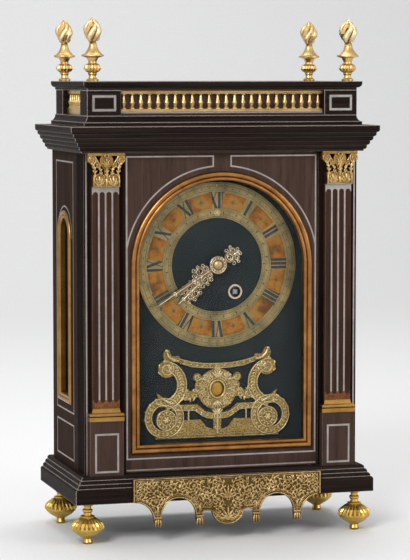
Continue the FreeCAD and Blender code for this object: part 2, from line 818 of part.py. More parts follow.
def door_lines():
    front = case_front_y
    x = door_half - door_line_inset
    top = cornice_z - door_line_top_drop
    low = case_z + door_line_bottom_rise
    foot_z = case_z + door_foot_line_rise
    break_z = dial_z + math.sqrt(door_arch_line_radius ** 2 - door_line_break ** 2)
    start = math.degrees(math.acos(x / door_arch_line_radius))
    end = math.degrees(math.acos(door_line_break / door_arch_line_radius))
    half = line_width / 2
    arch_band = ring_sector(0, dial_z, door_arch_line_radius - half, door_arch_line_radius + half, start, end)
    arch = prism_y(arch_band, front, front + inlay_depth)
    right = [line_box(x, low, x, top, line_width, front, inlay_depth),
             line_box(door_line_break, top, x, top, line_width, front, inlay_depth),
             line_box(door_line_break, break_z, door_line_break, top, line_width, front, inlay_depth),
             line_box(0, low, x, low, line_width, front, inlay_depth), arch]
    border = joined(right + [mirrored(line) for line in right])
    return [border, line_box(-x, foot_z, x, foot_z, line_width, front, inlay_depth)]


def left_side_lines():
    low, spring = window_levels()
    top = cornice_z - side_line_top_drop
    upper = case_z + side_upper_line_rise
    lower = case_z + side_lower_line_rise
    foot_z = case_z + side_foot_line_rise
    radius = window_inner_half_width + window_frame_width + side_arch_line_gap
    arch = ring_sector(0, spring, radius - line_width, radius, 0, half_turn)
    lines = [line_rectangle(0, upper, side_line_half_width, top - upper, line_width, 0, inlay_depth),
             line_rectangle(0, foot_z, side_line_half_width, lower - foot_z, line_width, 0, inlay_depth),
             prism_y(arch, 0, inlay_depth)]
    return [on_left_side(line) for line in lines]


# Pilasters

def right_pedestal():
    width = pedestal_width / 2
    body = block(pilaster_x - width, pilaster_x + width, pedestal_front_y, case_front_y, case_z,
                 pedestal_top_z)
    return body.cut(pedestal_lines())


def right_pilaster_base():
    """Gilt attic base: a flat foot, a torus and a fillet under the shaft."""
    third = pilaster_base_height / 3
    bow = third / 2
    spread = pilaster_base_spread
    low = pedestal_top_z
    upper = low + third + third
    profile = [(spread, low), (spread, low + third), (spread - bow, low + third),
               ((spread, low + third + bow), (spread - bow, upper)), (bow / 2, upper),
               ((bow / 2 - bow / 3, upper + bow), (0, low + pilaster_base_height))]
    return moulded_block(profile, shaft_width / 2, shaft_front_y, case_front_y, pilaster_x)


def scalloped_plate(low, height, upward):
    """A plate across the shaft whose edge follows the round ends of the flutes."""
    pitch = shaft_width / flute_count
    plate = block(pilaster_x - shaft_width / 2, pilaster_x + shaft_width / 2, shaft_front_y,
                  shaft_front_y + inlay_depth, low, low + height)
    edge_z = low + height if upward else low
    radius = (pitch - flute_line_width) / 2
    middles = [pilaster_x - shaft_width / 2 + pitch * (place + 1 / 2) for place in range(flute_count)]
    ends = [rod_y(radius, shaft_front_y - cut_overrun, shaft_front_y + inlay_depth + cut_overrun, x, edge_z)
            for x in middles]
    return plate.cut(ends)


def right_collar():
    return scalloped_plate(capital_z - collar_height, collar_height, False)


def right_copper_band():
    return scalloped_plate(shaft_z, copper_band_height, True)


def right_shaft():
    body = block(pilaster_x - shaft_width / 2, pilaster_x + shaft_width / 2, shaft_front_y, case_front_y,
                 shaft_z, capital_z)
    return body.cut(flute_lines() + [right_collar(), right_copper_band()])


def capital_point(across, up):
    return (pilaster_x + across * (shaft_width / 2 + capital_spread), capital_z + up * capital_height)


def capital_disc(shares, y0, y1):
    across, up, radius = shares
    x, z = capital_point(across, up)
    return rod_y(radius * (shaft_width / 2 + capital_spread), y0, y1, x, z)


def right_capital():
    """Pierced casting: a leafy basket, a palmette, two curled branches, corner volutes and an abacus."""
    front = shaft_front_y - capital_fret_depth
    basket = prism_y(moved(capital_basket_shares, capital_point), front, case_front_y)
    fret = [prism_y(moved(shares, capital_point), front, shaft_front_y)
            for shares in (capital_palmette_shares, capital_branch_shares, capital_link_shares)]
    corner = prism_y(moved(capital_corner_shares, capital_point), front, case_front_y)
    volute = capital_disc(volute_shares, front - volute_proud, case_front_y)
    right = fret + [basket, corner, volute, capital_disc(capital_curl_shares, front, shaft_front_y)]
    low_x, low_z = capital_point(-1, 1 - abacus_share)
    high_x, high_z = capital_point(1, 1)
    abacus = block(low_x, high_x, front - volute_proud, case_front_y, low_z, high_z)
    return joined(right + [mirrored(piece, pilaster_x) for piece in right] + [abacus])


# Cornice and attic

def cornice():
    step_rise = (cornice_height - cornice_fascia_height) / cornice_step_count
    inner = cornice_side_projection - cornice_step_count * cornice_step_run
    profile = beaded_steps(inner, cornice_z, step_rise, cornice_step_run, cornice_step_count, True)
    profile += [(cornice_side_projection, attic_z)]
    front = case_front_y - cornice_front_projection + cornice_side_projection
    body = moulded_block(profile, case_half, front, case_back_y)
    return body.cut(hinge_pins(pivot_radius + press_clearance))


def attic_base():
    """A fillet and a hollow that draws in to the dies."""
    low = attic_z + attic_base_fillet
    hollow = attic_die_inset
    profile = [(0, attic_z), (0, low), (-hollow * (1 - quarter_share), low),
               ((-hollow * quarter_share, low + (die_z - low) * (1 - quarter_share)), (-hollow, die_z))]
    return moulded_block(profile, attic_half, attic_front_y, attic_back_y)


def attic_cap():
    """A fillet and a round that swells out to the cap's flat edge."""
    low = cap_z + attic_cap_fillet
    high = finial_z - attic_cap_fillet
    swell = attic_die_inset
    middle = (-swell * (1 - quarter_share), low + (high - low) * (1 - quarter_share))
    profile = [(-swell, cap_z), (-swell, low), (middle, (0, high)), (0, finial_z)]
    return moulded_block(profile, attic_half, attic_front_y, attic_back_y)


def plain_dies():
    dies = []
    for side in (-1, 1):
        x0 = min(side * die_half, side * (die_half - attic_die_width))
        for y0 in (die_front_y, die_back_y - attic_die_depth):
            dies.append(block(x0, x0 + attic_die_width, y0, y0 + attic_die_depth, die_z, cap_z))
    return dies


def attic_dies():
    lines = [die_lines(), mirrored(die_lines())]
    return [die.cut(lines) for die in plain_dies()]


def attic_core():
    inset = balustrade_recess + balustrade_rail_depth
    body = block(inset - die_half, die_half - inset, die_front_y + inset, die_back_y, die_z, cap_z)
    return body.cut(plain_dies())


def balustrade(length):
    """Two rails and a row of turned balusters about X = 0, with the rails' backs on Y = 0."""
    half = length / 2 - fitting_clearance
    middle = -balustrade_rail_depth / 2
    foot_z = die_z + balustrade_foot_height
    low = foot_z + balustrade_rail_height
    high = cap_z - balustrade_rail_height
    count = round(length / baluster_pitch)
    profile = scaled_profile(baluster_profile_shares, baluster_radius, high - low + 2 * baluster_tenon,
                             low - baluster_tenon)
    outline = [(0, profile[0][1])] + profile + [(0, profile[-1][1])]
    step = length / count
    posts = [turned_z(outline, (place + 1 / 2) * step - length / 2, middle) for place in range(count)]
    rails = [block(-half, half, -balustrade_rail_depth, 0, die_z, low),
             block(-half, half, -balustrade_rail_depth, 0, high, cap_z)]
    return joined(rails + posts)


def front_balustrade():
    solid = balustrade(2 * (die_half - attic_die_width))
    solid.translate(vector(0, die_front_y + balustrade_recess + balustrade_rail_depth, 0))
    return solid


def left_balustrade():
    solid = balustrade(die_back_y - die_front_y - 2 * attic_die_depth)
    solid.rotate(origin, vector(0, 0, 1), -half_turn / 2)
    x = balustrade_recess + balustrade_rail_depth - die_half
    solid.translate(vector(x, (die_front_y + die_back_y) / 2, 0))
    return solid


def finial_places():
    x = attic_half - finial_inset
    rows = (attic_front_y + finial_inset, attic_back_y - finial_inset)
    return [(side * x, y) for y in rows for side in (-1, 1)]


def finial(x, y):
    stem = turned_z(scaled_profile(finial_stem_shares, finial_radius, finial_height, finial_z))
    bulb = lobed(scaled_profile(finial_bulb_shares, finial_radius, finial_height, finial_z), finial_lobes,
                 finial_groove_share)
    cup = turned_z(scaled_profile(finial_cup_shares, finial_radius, finial_height, finial_z))
    flame = lobed(scaled_profile(finial_flame_shares, finial_radius, finial_height, finial_z), flame_lobes,
                  flame_groove_share, flame_turn_share)
    solid = joined([stem, bulb, cup, flame])
    solid.translate(vector(x, y, 0))
    return solid


# Door and back door

def door_opening():
    return bezel_inner_half_width + bezel_sleeve_width, case_z + bezel_inner_rise - bezel_sleeve_width


def door_frame():
    half, low = door_opening()
    board = block(-door_half, door_half, case_front_y, door_back_y, door_z, door_top_z)
    window = prism_y(arched_outline(half, low, dial_z), case_front_y - cut_overrun, door_back_y + cut_overrun)
    return board.cut([window] + hinge_pins(pivot_radius + running_clearance) + door_lines())


def door_bezel():
    profile = bezel_profile(bezel_width, bezel_proud, bezel_sleeve_width, bezel_sleeve_depth)
    frame = arched_frame(profile, bezel_inner_half_width, case_z + bezel_inner_rise, dial_z)
    frame.translate(vector(0, case_front_y, 0))
    return frame


def door_glass():
    half, low = door_opening()
    pane = arched_outline(half - fitting_clearance, low + fitting_clearance, dial_z)
    front = case_front_y + bezel_sleeve_depth
    return prism_y(pane, front, front + glass_thickness)


def knob_place():
    return knob_edge_distance - back_door_half, (case_z + cornice_z) / 2


def back_door():
    """A board whose outer face has a sunk panel, bored for its pins and its knob."""
    board = block(-back_door_half, back_door_half, back_door_inner_y, back_door_outer_y, door_z, door_top_z)
    margin = back_door_panel_margin
    sunk = block(margin - back_door_half, back_door_half - margin, back_door_outer_y - back_door_panel_bevel,
                 back_door_outer_y + cut_overrun, door_z + margin, door_top_z - margin)
    x, z = knob_place()
    bore = rod_y(knob_tenon_radius + press_clearance, back_door_inner_y - cut_overrun,
                 back_door_outer_y + cut_overrun, x, z)
    return board.cut([sunk, bore] + hinge_pins(pivot_radius + running_clearance))


def back_door_knob():
    x, z = knob_place()
    profile = scaled_profile(knob_profile_shares, knob_radius, knob_height, back_door_outer_y)
    tenon = rod_y(knob_tenon_radius, back_door_inner_y, back_door_outer_y, x, z)
    return joined([turned_y(profile, x, z), tenon])


# Dial and hands

def dial_plate():
    half = lip_inner_x - fitting_clearance
    sheet = block(-half, half, dial_front_y, dial_back_y, case_z, cornice_z - dial_plate_top_gap)
    centre = rod_y(hour_pipe_radius + dial_centre_hole_gap, dial_front_y - cut_overrun,
                   dial_back_y + cut_overrun, 0, dial_z)
    winding = rod_y(grommet_inner_radius, dial_front_y - cut_overrun, dial_back_y + cut_overrun, winding_x,
                    winding_z)
    return sheet.cut([centre, winding])


def chapter_ring():
    return annulus(chapter_inner_radius, chapter_outer_radius, dial_front_y - chapter_thickness,
                   dial_front_y, 0, dial_z)


def chapter_cartouches():
    """Twelve plates between the hours, laid on the chapter ring."""
    back = dial_front_y - chapter_thickness
    plates = []
    for hour in range(hour_count):
        middle = full_turn * (hour + 1 / 2) / hour_count
        outline = ring_sector(0, dial_z, cartouche_inner_radius, cartouche_outer_radius,
                              middle - cartouche_angle / 2, middle + cartouche_angle / 2)
        plates.append(prism_y(outline, back - cartouche_thickness, back))
    return plates


def winding_grommet():
    return annulus(grommet_inner_radius, grommet_outer_radius, dial_front_y - grommet_thickness,
                   dial_front_y, winding_x, winding_z)


def ornament_point(x, z):
    return (x * ornament_half_width, ornament_z + z * ornament_height)


def ornament_disc(shares, y0, y1):
    x, z, radius = shares
    centre_x, centre_z = ornament_point(x, z)
    return rod_y(radius * ornament_half_width, y0, y1, centre_x, centre_z)


def dial_ornament():
    """Openwork of a foot, two volutes, two C-scroll arms, a curved top bar and a medallion."""
    front = dial_front_y - ornament_thickness
    back = dial_front_y
    outlines = [ornament_foot_shares, ornament_bar_shares, ornament_top_shares, ornament_horn_shares,
                ornament_leaf_shares, ornament_wing_shares]
    right = [prism_y(moved(shares, ornament_point), front, back) for shares in outlines]
    x, z, outer, inner = ornament_volute_shares
    volute_x, volute_z = ornament_point(x, z)
    right.append(annulus(inner * ornament_half_width, outer * ornament_half_width, front, back, volute_x,
                         volute_z))
    x, z, inner, outer, start, end = ornament_arm_shares
    arm_x, arm_z = ornament_point(x, z)
    arm = ring_sector(arm_x, arm_z, inner * ornament_half_width, outer * ornament_half_width, start, end)
    right.append(prism_y(arm, front, back))
    right += [ornament_disc(shares, front, back)
              for shares in (ornament_rosette_shares, ornament_curl_shares, ornament_bud_shares)]
    stem_low = ornament_point(0, 0)[1]
    stem_high = ornament_point(0, ornament_top_shares[0][1])[1]
    stem_half = ornament_stem_share * ornament_half_width
    middle = [block(-stem_half, stem_half, front, back, stem_low, stem_high),
              ornament_disc(ornament_shield_shares, front, back)]
    return joined(right + [mirrored(piece) for piece in right] + middle).cut(medallion_hole(front, back))


def medallion_hole(front, back):
    """The oval window of the medallion, a round bore drawn out in height."""
    centre_x, centre_z = ornament_point(ornament_shield_shares[0], ornament_shield_shares[1])
    half_height = medallion_height_share * ornament_half_width
    half_width = medallion_width_share * ornament_half_width
    oval = Part.Ellipse(origin, half_height, half_width).toShape()
    face = Part.Face(Part.Wire([oval]))
    face.rotate(origin, vector(0, 0, 1), half_turn / 2)
    face.rotate(origin, vector(1, 0, 0), half_turn / 2)
    face.translate(vector(centre_x, front - cut_overrun, centre_z))
    return face.extrude(vector(0, back - front + 2 * cut_overrun, 0))


def hand(length, blade_shares, scroll_shares, hub_radius_here, bore_radius, front):
    """A pierced hand that points to twelve: a blade with rings of scrollwork and a round hub."""
    back = front + hand_thickness
    right_edge = [(across * length, dial_z + along * length) for across, along in blade_shares]
    left_edge = [(-across, along) for across, along in reversed(right_edge)]
    parts = [prism_y(right_edge + left_edge, front, back), rod_y(hub_radius_here, front, back, 0, dial_z)]
    for across, along, outer, inner in scroll_shares:
        parts.append(annulus(inner * length, outer * length, front, back, across * length,
                             dial_z + along * length))
    bore = rod_y(bore_radius + press_clearance, front - cut_overrun, back + cut_overrun, 0, dial_z)
    return joined(parts).cut(bore)


def hour_hand():
    solid = hand(hour_hand_length, hour_blade_shares, hour_scroll_shares, hour_hub_radius,
                 hour_pipe_tip_radius, hour_hand_y - hand_thickness)
    return turned_about_y(solid, 0, dial_z, hour_hand_angle)


def minute_hand():
    solid = hand(minute_hand_length, hand_blade_shares, hand_scroll_shares + hand_tail_shares,
                 minute_hub_radius, cannon_tip_radius, minute_hand_y - hand_thickness)
    return turned_about_y(solid, 0, dial_z, minute_hand_angle)


def hand_collet():
    """Domed washer that holds the minute hand on its pipe."""
    crown = hand_tip_y - collet_height
    middle = (collet_radius / 2, crown + dome_drop(collet_radius, collet_height))
    return turned_y([(0, hand_tip_y), (collet_radius, hand_tip_y), (middle, (0, crown))], 0, dial_z)


# Wheels and pinions

def mesh_angle(x, z, other_x, other_z):
    """Direction from one arbor to another, in radians from +X towards +Z."""
    return math.atan2(other_z - z, other_x - x)


def toothed(teeth, root, tip, root_width_share, tip_width_share, phase, x, z, y0, y1):
    """A wheel whose straight-sided teeth stand evenly from a tooth at the phase angle."""
    points = []
    pitch = 2 * math.pi / teeth
    for tooth in range(teeth):
        middle = phase + pitch * tooth
        for radius, turn in ((root, -root_width_share), (tip, -tip_width_share), (tip, tip_width_share),
                             (root, root_width_share)):
            angle = middle + turn * pitch / 2
            points.append((x + radius * math.cos(angle), z + radius * math.sin(angle)))
    return prism_y(points, y0, y1)


def wheel(teeth, module, phase, x, z, y0, thickness):
    radius = teeth * module / 2
    return toothed(teeth, radius - wheel_dedendum_share * module, radius + wheel_addendum_share * module,
                   wheel_root_width_share, wheel_tip_width_share, phase, x, z, y0, y0 + thickness)


def pinion(leaves, module, phase, x, z, y0, length):
    radius = leaves * module / 2
    return toothed(leaves, radius - pinion_dedendum_share * module, radius + pinion_addendum_share * module,
                   pinion_root_width_share, pinion_tip_width_share, phase, x, z, y0, y0 + length)


def facing_gap(leaves, angle):
    """Phase of a pinion with a gap towards the wheel that lies in the opposite direction."""
    return angle + math.pi + math.pi / leaves


def crossed_out(blank, rim_radius, x, z, y0, y1):
    """Opens a wheel between its rim and its hub, leaving spokes."""
    ring = annulus(hub_radius, rim_radius, y0 - cut_overrun, y1 + cut_overrun, x, z)
    half = spoke_width / 2
    spokes = []
    for place in range(spoke_count // 2):
        bar = block(x - rim_radius - cut_overrun, x + rim_radius + cut_overrun, y0 - cut_overrun,
                    y1 + cut_overrun, z - half, z + half)
        spokes.append(turned_about_y(bar, x, z, full_turn * (place + 1 / 2) / spoke_count))
    return blank.cut(ring.cut(spokes))


def arbor(radius, x, z, front_end, back_end):
    """A shaft between the plates with a thinner pivot through each plate."""
    thin = radius * pivot_share
    return [rod_y(radius, train_y + running_clearance, back_plate_y - running_clearance, x, z),
            rod_y(thin, front_end, back_end, x, z)]


def barrel():
    """Spring barrel: a drum with a toothed great wheel in front and a closed back."""
    y0 = train_y + great_wheel_depth
    drum_y = y0 + great_wheel_thickness
    end_y = drum_y + barrel_length
    phase = mesh_angle(winding_x, winding_z, 0, dial_z)
    great = wheel(great_teeth, great_module, phase, winding_x, winding_z, y0, great_wheel_thickness)
    drum = rod_y(barrel_radius, drum_y, end_y, winding_x, winding_z)
    room = rod_y(barrel_radius - barrel_wall, drum_y + barrel_wall, end_y - barrel_wall, winding_x, winding_z)
    bore = rod_y(winding_arbor_radius + running_clearance, y0 - cut_overrun, end_y + cut_overrun, winding_x,
                 winding_z)
    return joined([great, drum]).cut([room, bore])


def mainspring():
    """Flat spiral in the barrel, from an eye round the arbor out to the barrel's wall."""
    eye = winding_arbor_radius + mainspring_eye_gap
    wall = barrel_radius - barrel_wall - press_clearance
    last = mainspring_turns * mainspring_points_per_turn
    coil = (wall - mainspring_thickness - eye) / last
    inner_edge = []
    outer_edge = []
    for point in range(last + 1):
        turn = 2 * math.pi * point / mainspring_points_per_turn
        radius = eye + coil * point
        for edge, reach in ((inner_edge, radius), (outer_edge, radius + mainspring_thickness)):
            edge.append((winding_x + reach * math.cos(turn), winding_z + reach * math.sin(turn)))
    y0 = train_y + great_wheel_depth + great_wheel_thickness + barrel_wall + press_clearance
    return prism_y(inner_edge + outer_edge[::-1], y0,
                   y0 + barrel_length - 2 * barrel_wall - 2 * press_clearance)


def winding_arbor():
    """Barrel arbor with its two pivots, the ratchet before the front plate and the winding square."""
    ratchet_y = front_plate_y - ratchet_lift - ratchet_thickness
    end_y = dial_front_y - winding_square_proud
    half = winding_square / 2
    body = rod_y(winding_arbor_radius, train_y + running_clearance, back_plate_y - running_clearance,
                 winding_x, winding_z)
    pivot = rod_y(winding_pivot_radius, ratchet_y, back_plate_back_y, winding_x, winding_z)
    square = block(winding_x - half, winding_x + half, end_y, ratchet_y + ratchet_thickness, winding_z - half,
                   winding_z + half)
    return joined([body, pivot, ratchet(ratchet_y), square])


def ratchet(y0):
    points = []
    for tooth in range(ratchet_teeth):
        angle = full_turn * tooth / ratchet_teeth
        next_angle = full_turn * (tooth + 1) / ratchet_teeth
        for radius, turn in ((ratchet_radius - ratchet_tooth_depth, angle), (ratchet_radius, next_angle)):
            points.append((winding_x + radius * math.cos(math.radians(turn)),
                           winding_z + radius * math.sin(math.radians(turn))))
    return prism_y(points, y0, y0 + ratchet_thickness)


def click_stud_place():
    """The click's stud stands to the right of the ratchet and lower than it."""
    return winding_x + ratchet_radius + click_gap + click_width / 2, winding_z - click_length * quarter_share


def click():
    """A pawl that lies against the ratchet's edge, turning on a stud of the front plate."""
    x, z = click_stud_place()
    y0 = front_plate_y - ratchet_lift - click_thickness
    half = click_width / 2
    nose = click_nose_share * click_width
    body = [(x - half, z), (x - half + nose, z + click_length), (x + half, z + click_length - click_width),
            (x + half, z)]
    boss = rod_y(half + click_gap, y0, y0 + click_thickness, x, z)
    bore = rod_y(click_stud_radius + running_clearance, y0 - cut_overrun, front_plate_y, x, z)
    return joined([prism_y(body, y0, y0 + click_thickness), boss]).cut(bore)


def centre_wheel():
    """Centre arbor with its pinion and wheel. Its front end carries the hands' pipe."""
    y0 = train_y + centre_wheel_depth
    to_barrel = mesh_angle(winding_x, winding_z, 0, dial_z)
    to_third = mesh_angle(0, dial_z, third_x, third_z)
    pinion_y = train_y + great_wheel_depth + (great_wheel_thickness - pinion_length) / 2
    rim = centre_module * centre_teeth / 2 - rim_width
    blank = wheel(centre_teeth, centre_module, to_third, 0, dial_z, y0, wheel_thickness)
    shaft = rod_y(centre_arbor_radius, train_y + running_clearance, back_plate_y - running_clearance, 0,
                  dial_z)
    pivot = rod_y(centre_arbor_radius, hand_tip_y + hand_thickness / 2, train_y + running_clearance, 0,
                  dial_z)
    rear = rod_y(centre_arbor_radius * pivot_share, back_plate_y - wheel_thickness, back_plate_back_y, 0,
                 dial_z)
    leaves = pinion(centre_pinion_leaves, great_module, facing_gap(centre_pinion_leaves, to_barrel), 0,
                    dial_z, pinion_y, pinion_length)
    return joined([crossed_out(blank, rim, 0, dial_z, y0, y0 + wheel_thickness), shaft, pivot, rear, leaves])


def third_wheel():
    y0 = train_y + third_wheel_depth
    pinion_y = train_y + centre_wheel_depth + (wheel_thickness - pinion_length) / 2
    from_centre = mesh_angle(0, dial_z, third_x, third_z)
    to_escape = mesh_angle(third_x, third_z, escape_x, escape_z)
    rim = third_module * third_teeth / 2 - rim_width
    blank = wheel(third_teeth, third_module, to_escape, third_x, third_z, y0, wheel_thickness)
    leaves = pinion(third_pinion_leaves, centre_module, facing_gap(third_pinion_leaves, from_centre),
                    third_x, third_z, pinion_y, pinion_length)
    rimmed = crossed_out(blank, rim, third_x, third_z, y0, y0 + wheel_thickness)
    return joined([rimmed, leaves] + arbor(arbor_radius, third_x, third_z, front_plate_y, back_plate_back_y))


def escape_wheel():
    """Thirty hooked teeth on a crossed-out wheel, with its pinion."""
    y0 = train_y + escape_wheel_depth
    pinion_y = train_y + third_wheel_depth + (wheel_thickness - pinion_length) / 2
    from_third = mesh_angle(third_x, third_z, escape_x, escape_z)
    root = escape_radius - escape_tooth_depth
    points = []
    for tooth in range(escape_teeth):
        for radius, share in ((root, 0), (escape_radius, escape_tip_share), (root, escape_heel_share)):
            angle = 2 * math.pi * (tooth + share) / escape_teeth
            points.append((escape_x + radius * math.cos(angle), escape_z + radius * math.sin(angle)))
    blank = prism_y(points, y0, y0 + wheel_thickness)
    leaves = pinion(escape_pinion_leaves, third_module, facing_gap(escape_pinion_leaves, from_third),
                    escape_x, escape_z, pinion_y, pinion_length)
    rimmed = crossed_out(blank, root - rim_width / 2, escape_x, escape_z, y0, y0 + wheel_thickness)
    shaft = arbor(arbor_radius, escape_x, escape_z, front_plate_y, back_plate_back_y)
    return joined([rimmed, leaves] + shaft)


def anchor():
    """Anchor over the escape wheel, on an arbor that carries the crutch behind the back plate."""
    y0 = train_y + escape_wheel_depth + (wheel_thickness - anchor_thickness) / 2
    y1 = y0 + anchor_thickness
    inner = escape_radius + anchor_gap
    top = half_turn / 2
    arms = prism_y(ring_sector(0, escape_z, inner, inner + anchor_arm_width, top - anchor_half_angle,
                               top + anchor_half_angle), y0, y1)
    pallets = []
    for side in (-1, 1):
        outer_angle = top + side * anchor_half_angle
        inner_angle = outer_angle - side * pallet_angle
        outline = ring_sector(0, escape_z, inner - pallet_reach, inner + anchor_arm_width, outer_angle,
                              inner_angle)
        pallets.append(prism_y(outline, y0, y1))
    boss = rod_y(anchor_boss_radius, y0, y1, 0, anchor_z)
    crutch_y = back_plate_back_y + crutch_gap
    shafts = arbor(arbor_radius, 0, anchor_z, front_plate_y, crutch_y + crutch_thickness)
    return joined([arms, boss] + pallets + shafts + crutch(crutch_y))


def crutch(y0):
    """A flat arm that hangs from the anchor's arbor, with a fork round the pendulum rod."""
    y1 = y0 + crutch_thickness
    half = crutch_width / 2
    foot_z = anchor_z - crutch_length
    gap = pendulum_rod_radius + fork_clearance
    wide = gap + fork_prong
    parts = [rod_y(half, y0, y1, 0, anchor_z), block(-half, half, y0, y1, foot_z, anchor_z),
             block(-wide, wide, y0, y1, foot_z - crutch_width, foot_z)]
    prong_end = pendulum_y + pendulum_rod_radius + fork_prong
    for side in (-1, 1):
        x0 = min(side * gap, side * wide)
        parts.append(block(x0, x0 + fork_prong, y0, prong_end, foot_z - crutch_width, foot_z))
    return parts


def pendulum():
    """Silk loop, rod, lens-shaped bob and rating nut."""
    rod_top = anchor_z - thread_length
    loop_top = anchor_z + cock_lift - fitting_clearance
    low = bob_z - bob_radius - rod_tail
    half = bob_thickness / 2
    edge = bob_edge_thickness / 2
    swell = half - dome_drop(bob_radius, half - edge)
    lens = [(0, pendulum_y - half), ((bob_radius / 2, pendulum_y - swell), (bob_radius, pendulum_y - edge)),
            (bob_radius, pendulum_y + edge), ((bob_radius / 2, pendulum_y + swell), (0, pendulum_y + half))]
    nut_z = bob_z - bob_radius - rating_nut_height
    parts = [rod_z(pendulum_rod_radius, low, rod_top, 0, pendulum_y), turned_y(lens, 0, bob_z),
             rod_z(rating_nut_radius, nut_z, nut_z + rating_nut_height, 0, pendulum_y),
             block(-pendulum_rod_radius, pendulum_rod_radius, pendulum_y - thread_half_gap - thread_radius,
                   pendulum_y + thread_half_gap + thread_radius, rod_top - pendulum_rod_radius, rod_top)]
    parts += [rod_z(thread_radius, rod_top - thread_radius, loop_top, 0, pendulum_y + side * thread_half_gap)
              for side in (-1, 1)]
    return joined(parts)


def suspension_cock():
    """Bracket on the back plate with an arm over the pendulum and two cheeks beside its silk."""
    low = anchor_z + cock_lift
    high = low + cock_height
    right = cock_width - cock_foot_width
    back = back_plate_back_y + cock_depth
    arm = block(-cock_foot_width, right, back_plate_back_y + cock_foot_thickness, back, low, high)
    foot_piece = block(right - cock_foot_width, right, back_plate_back_y,
                       back_plate_back_y + cock_foot_thickness, low, high)
    parts = [arm, foot_piece]
    for side in (-1, 1):
        inner = side * (thread_radius + cheek_gap)
        outer = inner + side * cheek_thickness
        parts.append(block(min(inner, outer), max(inner, outer), pendulum_y - thread_half_gap,
                           pendulum_y + thread_half_gap, low - cheek_length, low))
    return joined(parts)


# Movement frame

def pillar_places():
    x = plate_half_width - pillar_inset
    return [(side * x, z) for z in (dial_z - plate_drop + pillar_inset, dial_z + plate_rise - pillar_inset)
            for side in (-1, 1)]


def plate(y0, bores):
    sheet = block(-plate_half_width, plate_half_width, y0, y0 + plate_thickness, dial_z - plate_drop,
                  dial_z + plate_rise)
    holes = [rod_y(radius + running_clearance, y0 - cut_overrun, y0 + plate_thickness + cut_overrun, x, z)
             for radius, x, z in bores]
    return sheet.cut(holes)


def thin_pivots():
    thin = arbor_radius * pivot_share
    return [(thin, third_x, third_z), (thin, escape_x, escape_z), (thin, 0, anchor_z),
            (winding_pivot_radius, winding_x, winding_z)]


def front_plate():
    """The front plate carries the studs of the minute wheel and of the click."""
    click_x, click_z = click_stud_place()
    studs = [rod_y(motion_stud_radius, motion_upper_y, front_plate_y, motion_x, motion_z),
             rod_y(click_stud_radius, front_plate_y - ratchet_lift - click_thickness, front_plate_y, click_x,
                   click_z)]
    return joined([plate(front_plate_y, thin_pivots() + [(centre_arbor_radius, 0, dial_z)])] + studs)


def back_plate():
    return plate(back_plate_y, thin_pivots() + [(centre_arbor_radius * pivot_share, 0, dial_z)])


def plate_pillars():
    """Four turned pillars between the plates and four feet that carry the movement on the dial plate."""
    profile = scaled_profile(pillar_profile_shares, pillar_radius, pillar_length, train_y)
    pillars = [turned_y(profile, x, z) for x, z in pillar_places()]
    feet = [rod_y(dial_foot_radius, dial_back_y, front_plate_y, x, z) for x, z in pillar_places()]
    return pillars + feet


# Motion work

def cannon_pinion():
    """Pipe on the centre arbor with the pinion that drives the hands' wheels."""
    y1 = motion_lower_y + motion_wheel_thickness
    phase = facing_gap(cannon_teeth, mesh_angle(motion_x, motion_z, 0, dial_z))
    leaves = pinion(cannon_teeth, cannon_module, phase, 0, dial_z, motion_lower_y, motion_wheel_thickness)
    pipe = rod_y(cannon_radius, minute_hand_y, y1, 0, dial_z)
    tip = rod_y(cannon_tip_radius, hand_tip_y, minute_hand_y, 0, dial_z)
    bore = rod_y(centre_arbor_radius + running_clearance, hand_tip_y - cut_overrun, y1 + cut_overrun, 0,
                 dial_z)
    return joined([leaves, pipe, tip]).cut(bore)


def minute_wheel():
    phase = mesh_angle(motion_x, motion_z, 0, dial_z)
    lower = wheel(minute_wheel_teeth, cannon_module, phase, motion_x, motion_z, motion_lower_y,
                  motion_wheel_thickness)
    upper = pinion(minute_pinion_leaves, hour_module, phase + math.pi / minute_pinion_leaves, motion_x,
                   motion_z, motion_upper_y, motion_lower_y - motion_upper_y)
    bore = rod_y(motion_stud_radius + running_clearance, motion_upper_y - cut_overrun, front_plate_y,
                 motion_x, motion_z)
    return joined([lower, upper]).cut(bore)


def hour_wheel():
    """Hour wheel with the pipe that carries the hour hand through the dial."""
    phase = mesh_angle(0, dial_z, motion_x, motion_z)
    y1 = motion_upper_y + motion_wheel_thickness
    disc = wheel(hour_wheel_teeth, hour_module, phase, 0, dial_z, motion_upper_y, motion_wheel_thickness)
    pipe = rod_y(hour_pipe_radius, hour_hand_y, y1, 0, dial_z)
    tip = rod_y(hour_pipe_tip_radius, hour_hand_y - hand_thickness, hour_hand_y, 0, dial_z)
    bore = rod_y(cannon_radius + running_clearance, hour_hand_y - cut_overrun - hand_thickness,
                 y1 + cut_overrun, 0, dial_z)
    return joined([disc, pipe, tip]).cut(bore)


# Every node of the clock, by name

def pair(shape):
    return [shape, mirrored(shape)]


